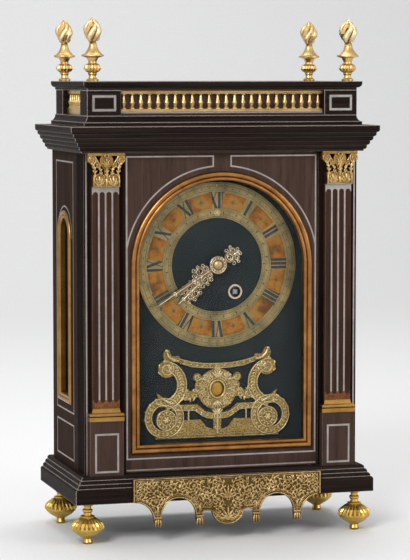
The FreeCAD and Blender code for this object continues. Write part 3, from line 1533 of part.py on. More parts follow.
def clock_nodes():
    nodes = {
        "plinth": [plinth()],
        "feet": [foot(x, y) for x, y in foot_places()],
        "apron_mount": [apron()],
        "left_post": [mirrored(right_post())],
        "right_post": [right_post()],
        "left_side_panel": [left_side_panel()],
        "right_side_panel": [mirrored(left_side_panel())],
        "left_window_frame": [left_window_frame()],
        "right_window_frame": [mirrored(left_window_frame())],
        "window_glasses": pair(left_window_glass()),
        "side_stringing": left_side_lines() + [mirrored(line) for line in left_side_lines()],
        "pedestals": pair(right_pedestal()),
        "pilaster_bases": pair(right_pilaster_base()),
        "left_pilaster_shaft": [mirrored(right_shaft())],
        "right_pilaster_shaft": [right_shaft()],
        "pilaster_collars": pair(right_collar()),
        "pilaster_bands": pair(right_copper_band()),
        "left_capital": [mirrored(right_capital())],
        "right_capital": [right_capital()],
        "front_stringing": front_stringing(),
        "cornice": [cornice()],
        "attic_base": [attic_base()],
        "attic_dies": attic_dies(),
        "attic_core": [attic_core()],
        "attic_cap": [attic_cap()],
        "front_balustrade": [front_balustrade()],
        "left_balustrade": [left_balustrade()],
        "right_balustrade": [mirrored(left_balustrade())],
        "finials": [finial(x, y) for x, y in finial_places()],
        "hinge_pins": hinge_pins(pivot_radius),
        "door_frame": [door_frame()],
        "door_stringing": door_lines(),
        "door_bezel": [door_bezel()],
        "door_glass": [door_glass()],
        "back_door": [back_door()],
        "back_door_knob": [back_door_knob()],
        "dial_plate": [dial_plate()],
        "chapter_ring": [chapter_ring()],
        "chapter_cartouches": chapter_cartouches(),
        "dial_ornament": [dial_ornament()],
        "winding_grommet": [winding_grommet()],
        "hour_hand": [hour_hand()],
        "minute_hand": [minute_hand()],
        "hand_collet": [hand_collet()],
        "front_plate": [front_plate()],
        "back_plate": [back_plate()],
        "plate_pillars": plate_pillars(),
        "barrel": [barrel()],
        "mainspring": [mainspring()],
        "winding_arbor": [winding_arbor()],
        "click": [click()],
        "centre_wheel": [centre_wheel()],
        "third_wheel": [third_wheel()],
        "escape_wheel": [escape_wheel()],
        "anchor": [anchor()],
        "pendulum": [pendulum()],
        "suspension_cock": [suspension_cock()],
        "cannon_pinion": [cannon_pinion()],
        "minute_wheel": [minute_wheel()],
        "hour_wheel": [hour_wheel()],
    }
    return nodes


os.makedirs("parts", exist_ok=True)
for name, solids in clock_nodes().items():
    shape = solids[0] if len(solids) == 1 else Part.makeCompound(solids)
    shape.exportStep("parts/" + name + ".step")
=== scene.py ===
# %% [markdown]
# A religieuse clock, dressed in Blender.
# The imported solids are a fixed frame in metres: the front faces -Y and +Z is up. They keep their
# shapes here and get their finishes. Chased relief, the cut hours and the engraved tracks are thin
# pieces that sit on the solids and ride on the same bodies, so they follow every pose.

# %% Load the frame
import bpy
import bmesh
import math
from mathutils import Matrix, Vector


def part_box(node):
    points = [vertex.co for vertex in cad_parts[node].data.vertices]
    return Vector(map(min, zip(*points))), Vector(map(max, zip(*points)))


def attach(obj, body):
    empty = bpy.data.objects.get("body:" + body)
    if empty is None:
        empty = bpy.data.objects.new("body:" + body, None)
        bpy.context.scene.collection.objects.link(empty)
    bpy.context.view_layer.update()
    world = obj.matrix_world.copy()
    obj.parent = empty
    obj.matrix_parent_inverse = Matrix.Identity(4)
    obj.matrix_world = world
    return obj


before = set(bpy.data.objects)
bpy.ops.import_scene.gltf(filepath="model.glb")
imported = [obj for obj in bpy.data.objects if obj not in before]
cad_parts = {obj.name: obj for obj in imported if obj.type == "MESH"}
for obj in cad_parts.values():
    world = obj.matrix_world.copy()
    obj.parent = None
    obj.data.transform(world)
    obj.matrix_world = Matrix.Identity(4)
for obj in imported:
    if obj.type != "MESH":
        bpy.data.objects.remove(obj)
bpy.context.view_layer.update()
scene = bpy.context.scene
scene.view_settings.view_transform = "Standard"
mm = 0.001

# %% [markdown]
# The camera takes the photograph's viewpoint, to the left of the clock and level with its finials. A
# short lens close by would make the upright lines lean, so a long lens looks from far away. Its place
# and its direction were fitted to the corners of the case.

# %% Camera
viewpoint = Vector((-0.7146, -2.4420, 0.4729))
view_line = Vector((0.2798, 0.9564, -0.0837))
camera = bpy.data.objects.new("camera", bpy.data.cameras.new("camera"))
camera.data.lens = 157.0
camera.data.sensor_width = 36.0
camera.data.clip_end = 50.0
camera.location = viewpoint
camera.rotation_euler = view_line.to_track_quat("-Z", "Y").to_euler()
scene.collection.objects.link(camera)
scene.camera = camera
print("camera", tuple(round(value, 3) for value in viewpoint))

# %% [markdown]
# Every finish on the clock is a node material: colour, roughness and bump come from textures that
# Blender works out. A picture could be painted instead, but nodes stay sharp at any distance. These
# short tools add a node and fill its sockets, so that each finish below reads like a recipe.


# %% Adding nodes
def new_finish(name):
    finish = bpy.data.materials.new(name)
    finish.use_nodes = True
    return finish


def fill(owner, socket, value):
    """Links another node's output to a socket, or sets the socket to a constant."""
    if isinstance(value, bpy.types.NodeSocket):
        owner.node_tree.links.new(value, socket)
    elif socket.type == "RGBA":
        socket.default_value = (*value, 1.0)
    else:
        socket.default_value = value


def add_node(owner, kind, sockets, **settings):
    """Adds a node to a material or to the world, then fills its sockets."""
    node = owner.node_tree.nodes.new("ShaderNode" + kind)
    for setting, value in settings.items():
        setattr(node, setting, value)
    for socket, value in sockets.items():
        fill(owner, node.inputs[socket], value)
    return node


def dress(finish, sockets):
    """Fills sockets of the finish's own shader."""
    shader = finish.node_tree.nodes["Principled BSDF"]
    for socket, value in sockets.items():
        fill(finish, shader.inputs[socket], value)
    return finish


print("node tools ready")

# %% [markdown]
# Wood grain, patina and worn lacquer are all uneven in their own scale. A noise texture gives that
# unevenness and a colour ramp turns it into tones. Every texture reads the object's own coordinates,
# which are the clock's coordinates in metres, so grain keeps one scale over all the pieces.


# %% Textures and colours
def mapped(finish, scale=(1.0, 1.0, 1.0)):
    """The object's own coordinates, stretched by a scale."""
    coords = add_node(finish, "TexCoord", {}).outputs["Object"]
    return add_node(finish, "Mapping", {"Vector": coords, "Scale": scale}).outputs["Vector"]


def noise(finish, vector, scale, detail, roughness):
    sockets = {"Vector": vector, "Scale": scale, "Detail": detail, "Roughness": roughness}
    return add_node(finish, "TexNoise", sockets).outputs["Fac"]


def ramp(finish, value, stops):
    """Turns a value into a colour, by stops of (place, colour)."""
    node = add_node(finish, "ValToRGB", {"Fac": value})
    elements = node.color_ramp.elements
    while len(elements) < len(stops):
        elements.new(0.5)
    for element, (place, colour) in zip(elements, stops):
        element.position = place
        element.color = (*colour, 1.0)
    return node.outputs["Color"]


def ranged(finish, value, low, high):
    """Spreads the middle values of a noise between two limits."""
    sockets = {"Value": value, "From Min": 0.3, "From Max": 0.7, "To Min": low, "To Max": high}
    return add_node(finish, "MapRange", sockets).outputs["Result"]


def mixed(finish, share, under, over, mode="MIX"):
    """Lays one colour over another. A Mix node's colours are its sockets 6 and 7."""
    sockets = {"Factor": share, 6: under, 7: over}
    return add_node(finish, "Mix", sockets, data_type="RGBA", blend_type=mode).outputs[2]


print("texture tools ready")

# %% [markdown]
# An old clock is dark in its hollows, where dirt and varnish stay, and pale along its edges, where
# cloths have rubbed. Here the dark hollows also carry painted shade and the pale edges a painted
# highlight. Both could be painted by hand. Here Ambient Occlusion finds the hollows and the Bevel
# node finds the edges, so the dirt, shade, wear and highlight follow the shapes by themselves. Upper
# and left edges are the brightest in the photograph, where the light falls on them, so those get the
# most painted highlight.


# %% Bump, hollows and edges
# The way the painted highlight leans: towards the upper left, where the light comes from.
painted_light_way = (-0.9, -0.1, 0.8)


def bumped(finish, height, strength, distance):
    sockets = {"Height": height, "Strength": strength, "Distance": distance}
    return add_node(finish, "Bump", sockets).outputs["Normal"]


def recesses(finish, reach):
    """1 on open faces, falling to 0 in hollows."""
    return add_node(finish, "AmbientOcclusion", {"Distance": reach}, samples=6).outputs["AO"]


def agreement(finish, first, second):
    """Grows as two directions agree, and is 0 where they are square to each other."""
    return add_node(finish, "VectorMath", {0: first, 1: second}, operation="DOT_PRODUCT").outputs["Value"]


def arrises(finish, reach):
    """0 on flat faces, rising towards 1 at sharp edges; edges facing up and left, towards the light, rise
    most, a painted highlight.
    """
    rounded = add_node(finish, "Bevel", {"Radius": reach}, samples=4).outputs["Normal"]
    flat = add_node(finish, "NewGeometry", {}).outputs["Normal"]
    match = agreement(finish, rounded, flat)
    edge = add_node(finish, "MapRange", {"Value": match, "From Min": 0.99, "From Max": 0.82})
    # Edges that face up and left get the most painted highlight.
    lean = agreement(finish, rounded, painted_light_way)
    share = add_node(finish, "MapRange", {"Value": lean, "From Min": -0.25, "From Max": 0.6, "To Min": 0.16})
    both = {0: edge.outputs["Result"], 1: share.outputs["Result"]}
    return add_node(finish, "Math", both, operation="MULTIPLY").outputs["Value"]


print("wear tools ready")

# %% [markdown]
# The case is veneered in ebony or blackened pear over a carcase, then waxed. One dark colour would
# look like plastic: real ebony has long brown streaks along the grain, and its pores break up the
# gloss. So a stretched noise draws the streaks, upright on posts, panels and shafts and level on the
# mouldings, and five tones follow the veneers as the photograph shows them. The posts' tone is a
# darker copy of the side panels' ebony, a painted shade.

# %% Ebony
white = (1.0, 1.0, 1.0)


def ebony(name, stretch, dark, body, streak, paler, edge_reach=0.0011, gloss=0.0012):
    finish = new_finish(name)
    vector = mapped(finish, stretch)
    broad = noise(finish, vector, 1.0, 5.0, 0.6)
    fine = noise(finish, vector, 4.5, 3.0, 0.7)
    colour = ramp(finish, broad, [(0.3, dark), (0.52, body), (0.75, streak)])
    pores = ramp(finish, fine, [(0.36, (0.74, 0.72, 0.7)), (0.5, white)])
    timber = mixed(finish, 1.0, colour, pores, "MULTIPLY")
    return dress(finish, {
        # Edges take the paler colour: partly rubbed wear, partly a painted highlight.
        "Base Color": mixed(finish, arrises(finish, edge_reach), timber, paler),
        "Roughness": ranged(finish, fine, 0.26, 0.42),
        "Normal": bumped(finish, fine, 0.2, 0.0002),
        "Specular IOR Level": gloss,
    })


upright, level = (150.0, 150.0, 7.0), (7.0, 45.0, 210.0)
# Edge colours: wear and painted highlight; the pale one on the mouldings is mostly painted highlight.
grey_wear_and_highlight, brown_wear_and_highlight, pale_wear_and_highlight = (0.2, 0.15, 0.125), (0.2, 0.135, 0.105), (0.52, 0.45, 0.41)
ebony_side = ebony("ebony_side", upright, (0.024, 0.0138, 0.0098), (0.036, 0.0205, 0.0145),
                   (0.048, 0.027, 0.0188), grey_wear_and_highlight)
# The posts' ebony is a darker copy of the sides', a painted shade.
ebony_post_painted_shade = ebony("ebony_post_painted_shade", upright, (0.0055, 0.003, 0.0022), (0.0105, 0.006, 0.0046),
                   (0.017, 0.0096, 0.007), grey_wear_and_highlight)
ebony_level = ebony("ebony_level", level, (0.009, 0.0062, 0.0053), (0.0175, 0.0118, 0.0099),
                    (0.028, 0.018, 0.0145), pale_wear_and_highlight, edge_reach=0.0014, gloss=0.006)
ebony_red = ebony("ebony_red", upright, (0.044, 0.027, 0.0215), (0.059, 0.0362, 0.0287),
                  (0.074, 0.045, 0.0355), brown_wear_and_highlight)
ebony_shaft = ebony("ebony_shaft", upright, (0.027, 0.0145, 0.0100), (0.041, 0.022, 0.0155),
                    (0.055, 0.029, 0.0205), brown_wear_and_highlight)
print("five ebony finishes ready")

# %% [markdown]
# The mounts are cast bronze, chased and fire-gilded with mercury. Gilding is yellow where it is
# burnished and red-brown in its hollows. A plain metal shader would miss both, so this one has
# cloudy tones, a fine chased grain in its bump, and dirt with painted shade where the hollows are.


# %% Metal recipe
def metal(name, light, middle, deep, reach, rough, grain_scale, chase, dirt_and_shade=0.75, grit=0.0):
    """Light and middle tones, and a deep one for dirt and painted shade, laid into hollows within reach
    metres.
    """
    finish = new_finish(name)
    vector = mapped(finish)
    cloud = noise(finish, vector, 70.0, 4.0, 0.6)
    grain = noise(finish, vector, grain_scale, 3.0, 0.6)
    tone = ramp(finish, cloud, [(0.32, middle), (0.68, light)])
    if grit:
        speckle = ramp(finish, grain, [(0.36, deep), (0.6, white)])
        tone = mixed(finish, grit, tone, speckle, "MULTIPLY")
    # Hollows take the deep tone: dirt, and painted shade where the relief shadows itself.
    if dirt_and_shade:
        hollow_dirt_and_shade = ramp(finish, recesses(finish, reach), [(0.25, deep), (0.8, white)])
        tone = mixed(finish, dirt_and_shade, tone, hollow_dirt_and_shade, "MULTIPLY")
    return dress(finish, {
        "Base Color": tone,
        "Roughness": ranged(finish, grain, rough - 0.08, rough + 0.1),
        "Normal": bumped(finish, grain, chase, 0.0004),
        "Metallic": 1.0,
    })


print("metal recipe ready")

# %% [markdown]
# Feet and finials were cleaned and are yellow. The apron, the capitals and the bezel are older and
# more orange. Each mount gets its own call of the recipe, because one gilt for all of them would lose
# these differences of age. The apron's ground is also darkened, a painted shade between the raised
# foliage, and the raised strokes of the apron and the capitals are paler, a painted highlight.

# %% Gilt mounts
gilt_bright = metal("gilt_bright", (0.64, 0.440, 0.125), (0.484, 0.305, 0.066), (0.16, 0.07, 0.02),
                    reach=0.006, rough=0.34, grain_scale=900.0, chase=0.2)
gilt_old = metal("gilt_old", (0.405, 0.23, 0.069), (0.276, 0.143, 0.037), (0.10, 0.045, 0.015),
                 reach=0.004, rough=0.34, grain_scale=900.0, chase=0.4)
# The apron's ground is darkened, a painted shade between the raised foliage, and its relief strokes are
# paler, a painted highlight.
gilt_ground_painted_shade = metal("gilt_ground_painted_shade", (0.167, 0.107, 0.038), (0.088, 0.053, 0.018), (0.10, 0.045, 0.015),
                    reach=0.003, rough=0.42, grain_scale=1600.0, chase=1.0, grit=0.4)
apron_gilt_painted_highlight = metal("apron_gilt_painted_highlight", (0.655, 0.47, 0.218), (0.336, 0.214, 0.077), (0.08, 0.035, 0.012),
                   reach=0.0016, rough=0.28, grain_scale=1100.0, chase=0.6, dirt_and_shade=0.85, grit=0.5)
# The capitals' relief strokes are paler than their casting, a painted highlight on the raised parts.
capital_gilt_painted_highlight = metal("capital_gilt_painted_highlight", (0.656, 0.467, 0.213), (0.394, 0.254, 0.098), (0.06, 0.025, 0.01),
                     reach=0.0028, rough=0.3, grain_scale=1000.0, chase=0.4, dirt_and_shade=0.9, grit=0.4)
bezel_gilt = metal("bezel_gilt", (0.39, 0.183, 0.058), (0.211, 0.094, 0.029), (0.2, 0.09, 0.035),
                   reach=0.004, rough=0.34, grain_scale=260.0, chase=0.02, dirt_and_shade=0.0)
pale_gilt = metal("pale_gilt", (0.75, 0.54, 0.24), (0.49, 0.325, 0.128), (0.13, 0.06, 0.02),
                  reach=0.004, rough=0.38, grain_scale=1000.0, chase=0.25)
flame_gilt = metal("flame_gilt", (0.9, 0.747, 0.486), (0.666, 0.504, 0.27), (0.13, 0.06, 0.02),
                   reach=0.003, rough=0.48, grain_scale=600.0, chase=0.4, grit=0.3)
print("gilt finishes ready")

# %% [markdown]
# The hands and the movement are brass that was never gilded, with steel for arbors and springs. The
# gilding of the ornament under the dial has dulled to a brass tone. Copper bands and pewter lines are
# thin sheet, inlaid and scraped level. All of them differ from the bright gilding in colour and grain
# only, so the same recipe makes them.

# %% Brass, steel, copper and pewter
hand_brass = metal("hand_brass", (0.44, 0.30, 0.135), (0.25, 0.16, 0.068), (0.07, 0.035, 0.016),
                   reach=0.0022, rough=0.36, grain_scale=1100.0, chase=0.5, grit=0.4)
# The curls and ribs of the hands are much paler than the hands' brass, a painted highlight.
hand_brass_painted_highlight = metal("hand_brass_painted_highlight", (1.0, 0.91, 0.70), (0.86, 0.73, 0.50), (0.08, 0.04, 0.015),
                   reach=0.0014, rough=0.24, grain_scale=900.0, chase=0.4, grit=0.3)
key_brass = metal("key_brass", (0.92, 0.74, 0.58), (0.66, 0.50, 0.38), (0.16, 0.07, 0.04),
                  reach=0.003, rough=0.34, grain_scale=900.0, chase=0.3)
pale_brass = metal("pale_brass", (0.68, 0.50, 0.25), (0.46, 0.32, 0.14), (0.10, 0.06, 0.03),
                   reach=0.0022, rough=0.36, grain_scale=1500.0, chase=0.4)
grained_brass = metal("grained_brass", (0.593, 0.418, 0.150), (0.38, 0.255, 0.078), (0.10, 0.05, 0.02),
                      reach=0.0025, rough=0.36, grain_scale=560.0, chase=0.4, grit=0.75)
# The ornament's relief strokes and the rosettes at twelve are paler than its ground, a painted highlight on
# the raised parts.
bright_brass_painted_highlight = metal("bright_brass_painted_highlight", (0.78, 0.646, 0.345), (0.65, 0.502, 0.235), (0.08, 0.04, 0.015),
                     reach=0.0014, rough=0.3, grain_scale=700.0, chase=0.3, grit=0.35)
plate_brass = metal("plate_brass", (0.68, 0.50, 0.20), (0.56, 0.40, 0.15), (0.5, 0.4, 0.3),
                    reach=0.004, rough=0.28, grain_scale=600.0, chase=0.05)
steel = metal("steel", (0.46, 0.46, 0.48), (0.34, 0.34, 0.36), (0.4, 0.35, 0.3),
              reach=0.004, rough=0.3, grain_scale=700.0, chase=0.08)
copper = metal("copper", (0.27, 0.115, 0.045), (0.15, 0.06, 0.024), (0.2, 0.12, 0.08),
               reach=0.003, rough=0.36, grain_scale=500.0, chase=0.15, dirt_and_shade=0.6, grit=0.5)
pewter = metal("pewter", (0.396, 0.361, 0.348), (0.267, 0.237, 0.224), (0.5, 0.45, 0.42),
               reach=0.002, rough=0.4, grain_scale=1300.0, chase=0.12, dirt_and_shade=0.4)
print("brass, steel, copper and pewter ready")

# %% [markdown]
# The chapter ring is thin brass, once silvered and now grey-green, brushed round its centre. Brushing
# could be cut as fine grooves, but they would be thinner than a hair. A noise that reads only the
# distance from the dial's centre draws the same rings.

# %% Chapter ring
dial_z = 278.5


def brushed_ring(name, green, grey, ochre):
    finish = new_finish(name)
    coords = add_node(finish, "TexCoord", {}).outputs["Object"]
    centre = (0.0, 0.0, dial_z * mm)
    offset = add_node(finish, "VectorMath", {0: coords, 1: centre}, operation="SUBTRACT")
    radius = add_node(finish, "VectorMath", {0: offset.outputs["Vector"]}, operation="LENGTH")
    sockets = {"W": radius.outputs["Value"], "Scale": 4000.0}
    brushing = add_node(finish, "TexNoise", sockets, noise_dimensions="1D").outputs["Fac"]
    patina = noise(finish, mapped(finish), 45.0, 6.0, 0.65)
    return dress(finish, {
        "Base Color": ramp(finish, patina, [(0.34, green), (0.5, grey), (0.68, ochre)]),
        "Roughness": ranged(finish, brushing, 0.36, 0.5),
        "Normal": bumped(finish, brushing, 0.15, 0.0002),
        "Metallic": 0.75,
    })


ring_brass = brushed_ring("ring_brass", (0.19, 0.145, 0.064), (0.30, 0.235, 0.102), (0.46, 0.338, 0.132))
print("chapter ring finish ready")

# %% [markdown]
# The plates between the hours keep an orange lacquer that has worn through in places, and the
# medallion holds an amber one. A clear coat over copper could show it, but the old lacquer is cloudy,
# so its four tones lie in the colour itself and only part of it is metallic.


# %% Lacquer
def lacquer(name, brown, orange, ochre, olive):
    finish = new_finish(name)
    vector = mapped(finish)
    cloud = noise(finish, vector, 60.0, 7.0, 0.7)
    speck = noise(finish, vector, 700.0, 3.0, 0.6)
    tones = [(0.36, brown), (0.46, orange), (0.56, ochre), (0.66, olive)]
    return dress(finish, {
        "Base Color": ramp(finish, cloud, tones),
        "Roughness": ranged(finish, speck, 0.34, 0.52),
        "Normal": bumped(finish, speck, 0.2, 0.0003),
        "Metallic": 0.35,
        "Specular IOR Level": 0.15,
    })


orange_lacquer = lacquer("orange_lacquer", (0.13, 0.055, 0.018), (0.30, 0.115, 0.018),
                         (0.40, 0.18, 0.028), (0.25, 0.18, 0.07))
amber_lacquer = lacquer("amber_lacquer", (0.26, 0.12, 0.02), (0.42, 0.22, 0.03),
                        (0.50, 0.28, 0.045), (0.40, 0.25, 0.06))
print("lacquers ready")

# %% [markdown]
# The dial plate is iron with black velvet glued over it. Hair particles could make the pile, but it
# is a fraction of a millimetre long, so a fine bump and the shader's sheen give its softness. The cut
# hours are filled with black wax, nearly matt and worn paler in spots.


# %% Velvet and wax
def velvet(name, dark, light):
    finish = new_finish(name)
    vector = mapped(finish)
    nap = noise(finish, vector, 30.0, 5.0, 0.6)
    pile = noise(finish, vector, 2600.0, 2.0, 0.6)
    return dress(finish, {
        "Base Color": ramp(finish, nap, [(0.3, dark), (0.7, light)]),
        "Normal": bumped(finish, pile, 0.5, 0.0004),
        "Roughness": 0.85,
        "Sheen Weight": 0.06,
        "Sheen Roughness": 0.4,
        "Sheen Tint": (0.5, 0.62, 0.7),
        "Specular IOR Level": 0.2,
    })


def wax(name, dark, light):
    finish = new_finish(name)
    paler = noise(finish, mapped(finish), 260.0, 5.0, 0.7)
    return dress(finish, {"Base Color": ramp(finish, paler, [(0.45, dark), (0.75, light)]), "Roughness": 0.55})


dial_velvet = velvet("velvet", (0.009, 0.0125, 0.0145), (0.018, 0.0235, 0.026))
black_wax = wax("black_wax", (0.018, 0.017, 0.016), (0.06, 0.057, 0.05))
brown_wax = wax("brown_wax", (0.07, 0.038, 0.018), (0.16, 0.09, 0.04))
print("velvet and waxes ready")

# %% [markdown]
# The panes are old crown glass, clear and slightly wavy. A glass shader would bend what lies behind
# and cost much light, so a nearly transparent surface with a weak wavy gloss stands for a thin pane.
# The back door is plain oak, and a red stain covers the wood behind the balustrades.


# %% Glass and boards
def window_glass(name, dark, light):
    finish = new_finish(name)
    wave = noise(finish, mapped(finish), 28.0, 2.0, 0.5)
    return dress(finish, {
        "Base Color": ramp(finish, wave, [(0.3, dark), (0.7, light)]),
        "Normal": bumped(finish, wave, 0.05, 0.002),
        "Roughness": 0.04,
        "Alpha": 0.07,
        "Specular IOR Level": 0.3,
    })


def board(name, dark, light, stretch):
    finish = new_finish(name)
    vector = mapped(finish, stretch)
    broad = noise(finish, vector, 1.0, 5.0, 0.6)
    fine = noise(finish, vector, 6.0, 3.0, 0.7)
    tone = ramp(finish, broad, [(0.32, dark), (0.7, light)])
    pores = ramp(finish, fine, [(0.38, (0.7, 0.66, 0.62)), (0.5, white)])
    return dress(finish, {
        "Base Color": mixed(finish, 1.0, tone, pores, "MULTIPLY"),
        "Roughness": ranged(finish, fine, 0.42, 0.6),
        "Normal": bumped(finish, fine, 0.3, 0.0003),
    })


glass = window_glass("crown_glass", (0.03, 0.04, 0.038), (0.05, 0.06, 0.055))
oak = board("oak", (0.16, 0.09, 0.043), (0.26, 0.16, 0.083), (45.0, 45.0, 2.0))
red_stain = board("red_stain", (0.035, 0.011, 0.008), (0.07, 0.022, 0.014), (6.0, 60.0, 60.0))
print("glass and boards ready")

# %% [markdown]
# Each solid of the frame takes its finish here. It could be set piece by piece, but one table shows
# the whole clock at a glance, and the count at the end tells whether a solid was forgotten.

# %% Finishes for the frame's nodes
finish_of = {
    ebony_side: ["left_side_panel", "right_side_panel"],
    ebony_post_painted_shade: ["left_post", "right_post"],
    ebony_red: ["pedestals", "door_frame"],
    ebony_shaft: ["left_pilaster_shaft", "right_pilaster_shaft"],
    ebony_level: ["plinth", "cornice", "attic_base", "attic_dies", "attic_cap"],
    gilt_bright: ["feet"],
    pale_gilt: ["finials", "front_balustrade", "left_balustrade", "right_balustrade"],
    gilt_old: ["pilaster_bases", "left_capital", "right_capital", "left_window_frame", "right_window_frame"],
    gilt_ground_painted_shade: ["apron_mount"],
    bezel_gilt: ["door_bezel"],
    pewter: ["side_stringing", "front_stringing", "door_stringing", "pilaster_collars"],
    copper: ["pilaster_bands"],
    glass: ["window_glasses", "door_glass"],
    dial_velvet: ["dial_plate"],
    ring_brass: ["chapter_ring"],
    orange_lacquer: ["chapter_cartouches"],
    grained_brass: ["dial_ornament"],
    hand_brass: ["hour_hand", "minute_hand"],
    pale_brass: ["hand_collet"],
    key_brass: ["winding_grommet"],
    oak: ["back_door"],
    red_stain: ["attic_core"],
    plate_brass: ["front_plate", "back_plate", "plate_pillars", "barrel", "centre_wheel", "third_wheel",
                  "escape_wheel", "pendulum", "suspension_cock", "minute_wheel", "hour_wheel",
                  "back_door_knob"],
    steel: ["hinge_pins", "winding_arbor", "click", "anchor", "cannon_pinion", "mainspring"],
}
dressed = 0
for finish, names in finish_of.items():
    for name in names:
        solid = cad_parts[name]
        solid.data.materials.clear()
        solid.data.materials.append(finish)
        dressed += 1
print("dressed", dressed, "of", len(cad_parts))

# %% [markdown]
# Chased relief is a play of ridges that the chaser leaves between punched hollows. It could be
# sculpted, or faked by a bump. Here it is drawn as strokes, lines with a width at every point, and
# each becomes a round bar sunk partly into its plate, so the ridges are real and catch the light.


# %% Pieces and strokes
def add_piece(name, mesh, finish, body, smooth=True):
    piece = bpy.data.objects.new(name, mesh)
    mesh.materials.append(finish)
    for face in mesh.polygons:
        face.use_smooth = smooth
    scene.collection.objects.link(piece)
    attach(piece, body)
    return piece


def on_front(depth, across=0.0, foot=0.0):
    """Places (x, z, height above the plate) on a plane that faces the viewer."""
    return lambda x, z, rise: Vector((across + x, depth - rise, foot + z)) * mm


def relief(name, strokes, place, finish, body):
    """Makes one mesh from strokes, each (points, widths, rise, closed)."""
    curve = bpy.data.curves.new(name, "CURVE")
    curve.dimensions = "3D"
    curve.bevel_depth = mm
    curve.bevel_resolution = 1
    curve.use_fill_caps = True
    for points, widths, rise, closed in strokes:
        spline = curve.splines.new("POLY")
        spline.points.add(len(points) - 1)
        for point, (x, z), width in zip(spline.points, points, widths):
            point.co = (*place(x, z, rise), 1.0)
            point.radius = max(width, 0.05) / 2
        spline.use_cyclic_u = closed
    drawn = bpy.data.objects.new(name + "_drawn", curve)
    scene.collection.objects.link(drawn)
    depsgraph = bpy.context.evaluated_depsgraph_get()
    mesh = bpy.data.meshes.new_from_object(drawn.evaluated_get(depsgraph))
    mesh.name = name
    bpy.data.objects.remove(drawn)
    print(name, len(mesh.polygons), "faces from", len(strokes), "strokes")
    return add_piece(name, mesh, finish, body)


print("stroke tools ready")

# %% [markdown]
# Foliage of this time is built from few forms: plain lines, arcs, rings and scrolls. Bezier handles
# could shape them by eye, but worked-out points repeat exactly and mirror cleanly.


# %% Lines, rings and scrolls
def even(points, width, rise=0.0, closed=False):
    return (points, [width] * len(points), rise, closed)


def tapered(points, widths, rise):
    return (points, widths, rise, False)


def arc(x, z, radius, start, end, steps):
    turns = [math.radians(start + (end - start) * step / steps) for step in range(steps + 1)]
    return [(x + radius * math.cos(turn), z + radius * math.sin(turn)) for turn in turns]


def ring(x, z, radius_x, radius_z, width, rise=0.0, steps=32):
    turns = [2 * math.pi * step / steps for step in range(steps)]
    points = [(x + radius_x * math.cos(turn), z + radius_z * math.sin(turn)) for turn in turns]
    return even(points, width, rise, True)


def spiral(x, z, outer, inner, start, sweep, wide, thin, rise=0.0):
    """A scroll that winds in from its outer end, thinning towards its eye."""
    steps = max(12, int(abs(sweep) / 18))
    points = []
    widths = []
    for step in range(steps + 1):
        share = step / steps
        turn = math.radians(start + sweep * share)
        radius = outer + (inner - outer) * share
        points.append((x + radius * math.cos(turn), z + radius * math.sin(turn)))
        widths.append(wide + (thin - wide) * share)
    return tapered(points, widths, rise)


def mirrored(strokes):
    return [([(-x, z) for x, z in points], widths, rise, closed) for points, widths, rise, closed in strokes]


print("line tools ready")

# %% [markdown]
# Leaves are the chaser's main form: thin at the foot, full in the middle and pointed. Each could be
# sculpted, but one leaf that takes a length, a width and a bend can be repeated from one foot as a
# fan, and later round flowers and along rims.


# %% Leaves
def leaf(x, z, angle, length, width, bend=0.0, rise=0.0):
    """A pointed leaf from its foot, curving by bend degrees to its tip."""
    points = []
    widths = []
    steps = 7
    for step in range(steps + 1):
        share = step / steps
        turn = math.radians(angle + bend * share)
        points.append((x, z))
        widths.append(width * math.sin(math.pi * (0.12 + 0.86 * share)) ** 0.8)
        x += length / steps * math.cos(turn)
        z += length / steps * math.sin(turn)
    return tapered(points, widths, rise)


def fan(x, z, middle, tilts, length, loss, width, curl, rise):
    """Leaves from one foot. They lose length by tilt / loss and curl on by a share of their tilt."""
    return [leaf(x, z, middle + tilt, length - abs(tilt) / loss, width, tilt * curl, rise) for tilt in tilts]


print("leaf tools ready")

# %% [markdown]
# A rinceau is a spiral stem with leaves curling off it and a flower in its eye. Mounts of this time
# are full of them, large and small. They could be drawn one by one, but here every part of one is a
# share of its radius, so that one call draws a scroll of any size.


# %% Flowers and rinceaux
def flower(x, z, radius, petals, rise):
    width = radius * 3.6 / petals
    out = [leaf(x, z, 360 * petal / petals, radius, width, 0.0, rise) for petal in range(petals)]
    out.append(ring(x, z, radius * 0.16, radius * 0.16, radius * 0.34, rise + radius * 0.1, 8))
    return out


def rinceau(x, z, radius, start, sweep):
    """A foliate scroll: a spiral stem with leaves curling off it and a small flower in its eye."""
    side = 1 if sweep > 0 else -1
    eye = radius * 0.32
    strokes = [spiral(x, z, radius, eye, start, sweep, radius * 0.24, radius * 0.16)]
    count = max(5, int(abs(sweep) / 45))
    for place in range(count):
        share = (place + 0.3) / count
        turn = start + sweep * share
        reach = radius + (eye - radius) * share
        foot = (x + reach * math.cos(math.radians(turn)), z + reach * math.sin(math.radians(turn)))
        strokes.append(leaf(*foot, turn + side * 35, radius * 0.62, radius * 0.3, side * 70, 0.1))
        if place % 2:
            strokes.append(leaf(*foot, turn + side * 120, radius * 0.42, radius * 0.22, side * 60, 0.1))
    return strokes + flower(x, z, radius * 0.34, 6, 0.2)


print("flower tools ready")

# %% [markdown]
# The apron is one casting with arches between its legs and a pendant in the middle. Its moulded edge
# follows the arches. The arcs could be measured from the solid's mesh, but three points of each give
# them exactly, in millimetres from the middle of the apron's foot.


# %% Apron edges
def corners(node):
    """The low and the high corner of a solid's box, in millimetres."""
    return [[value / mm for value in corner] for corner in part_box(node)]


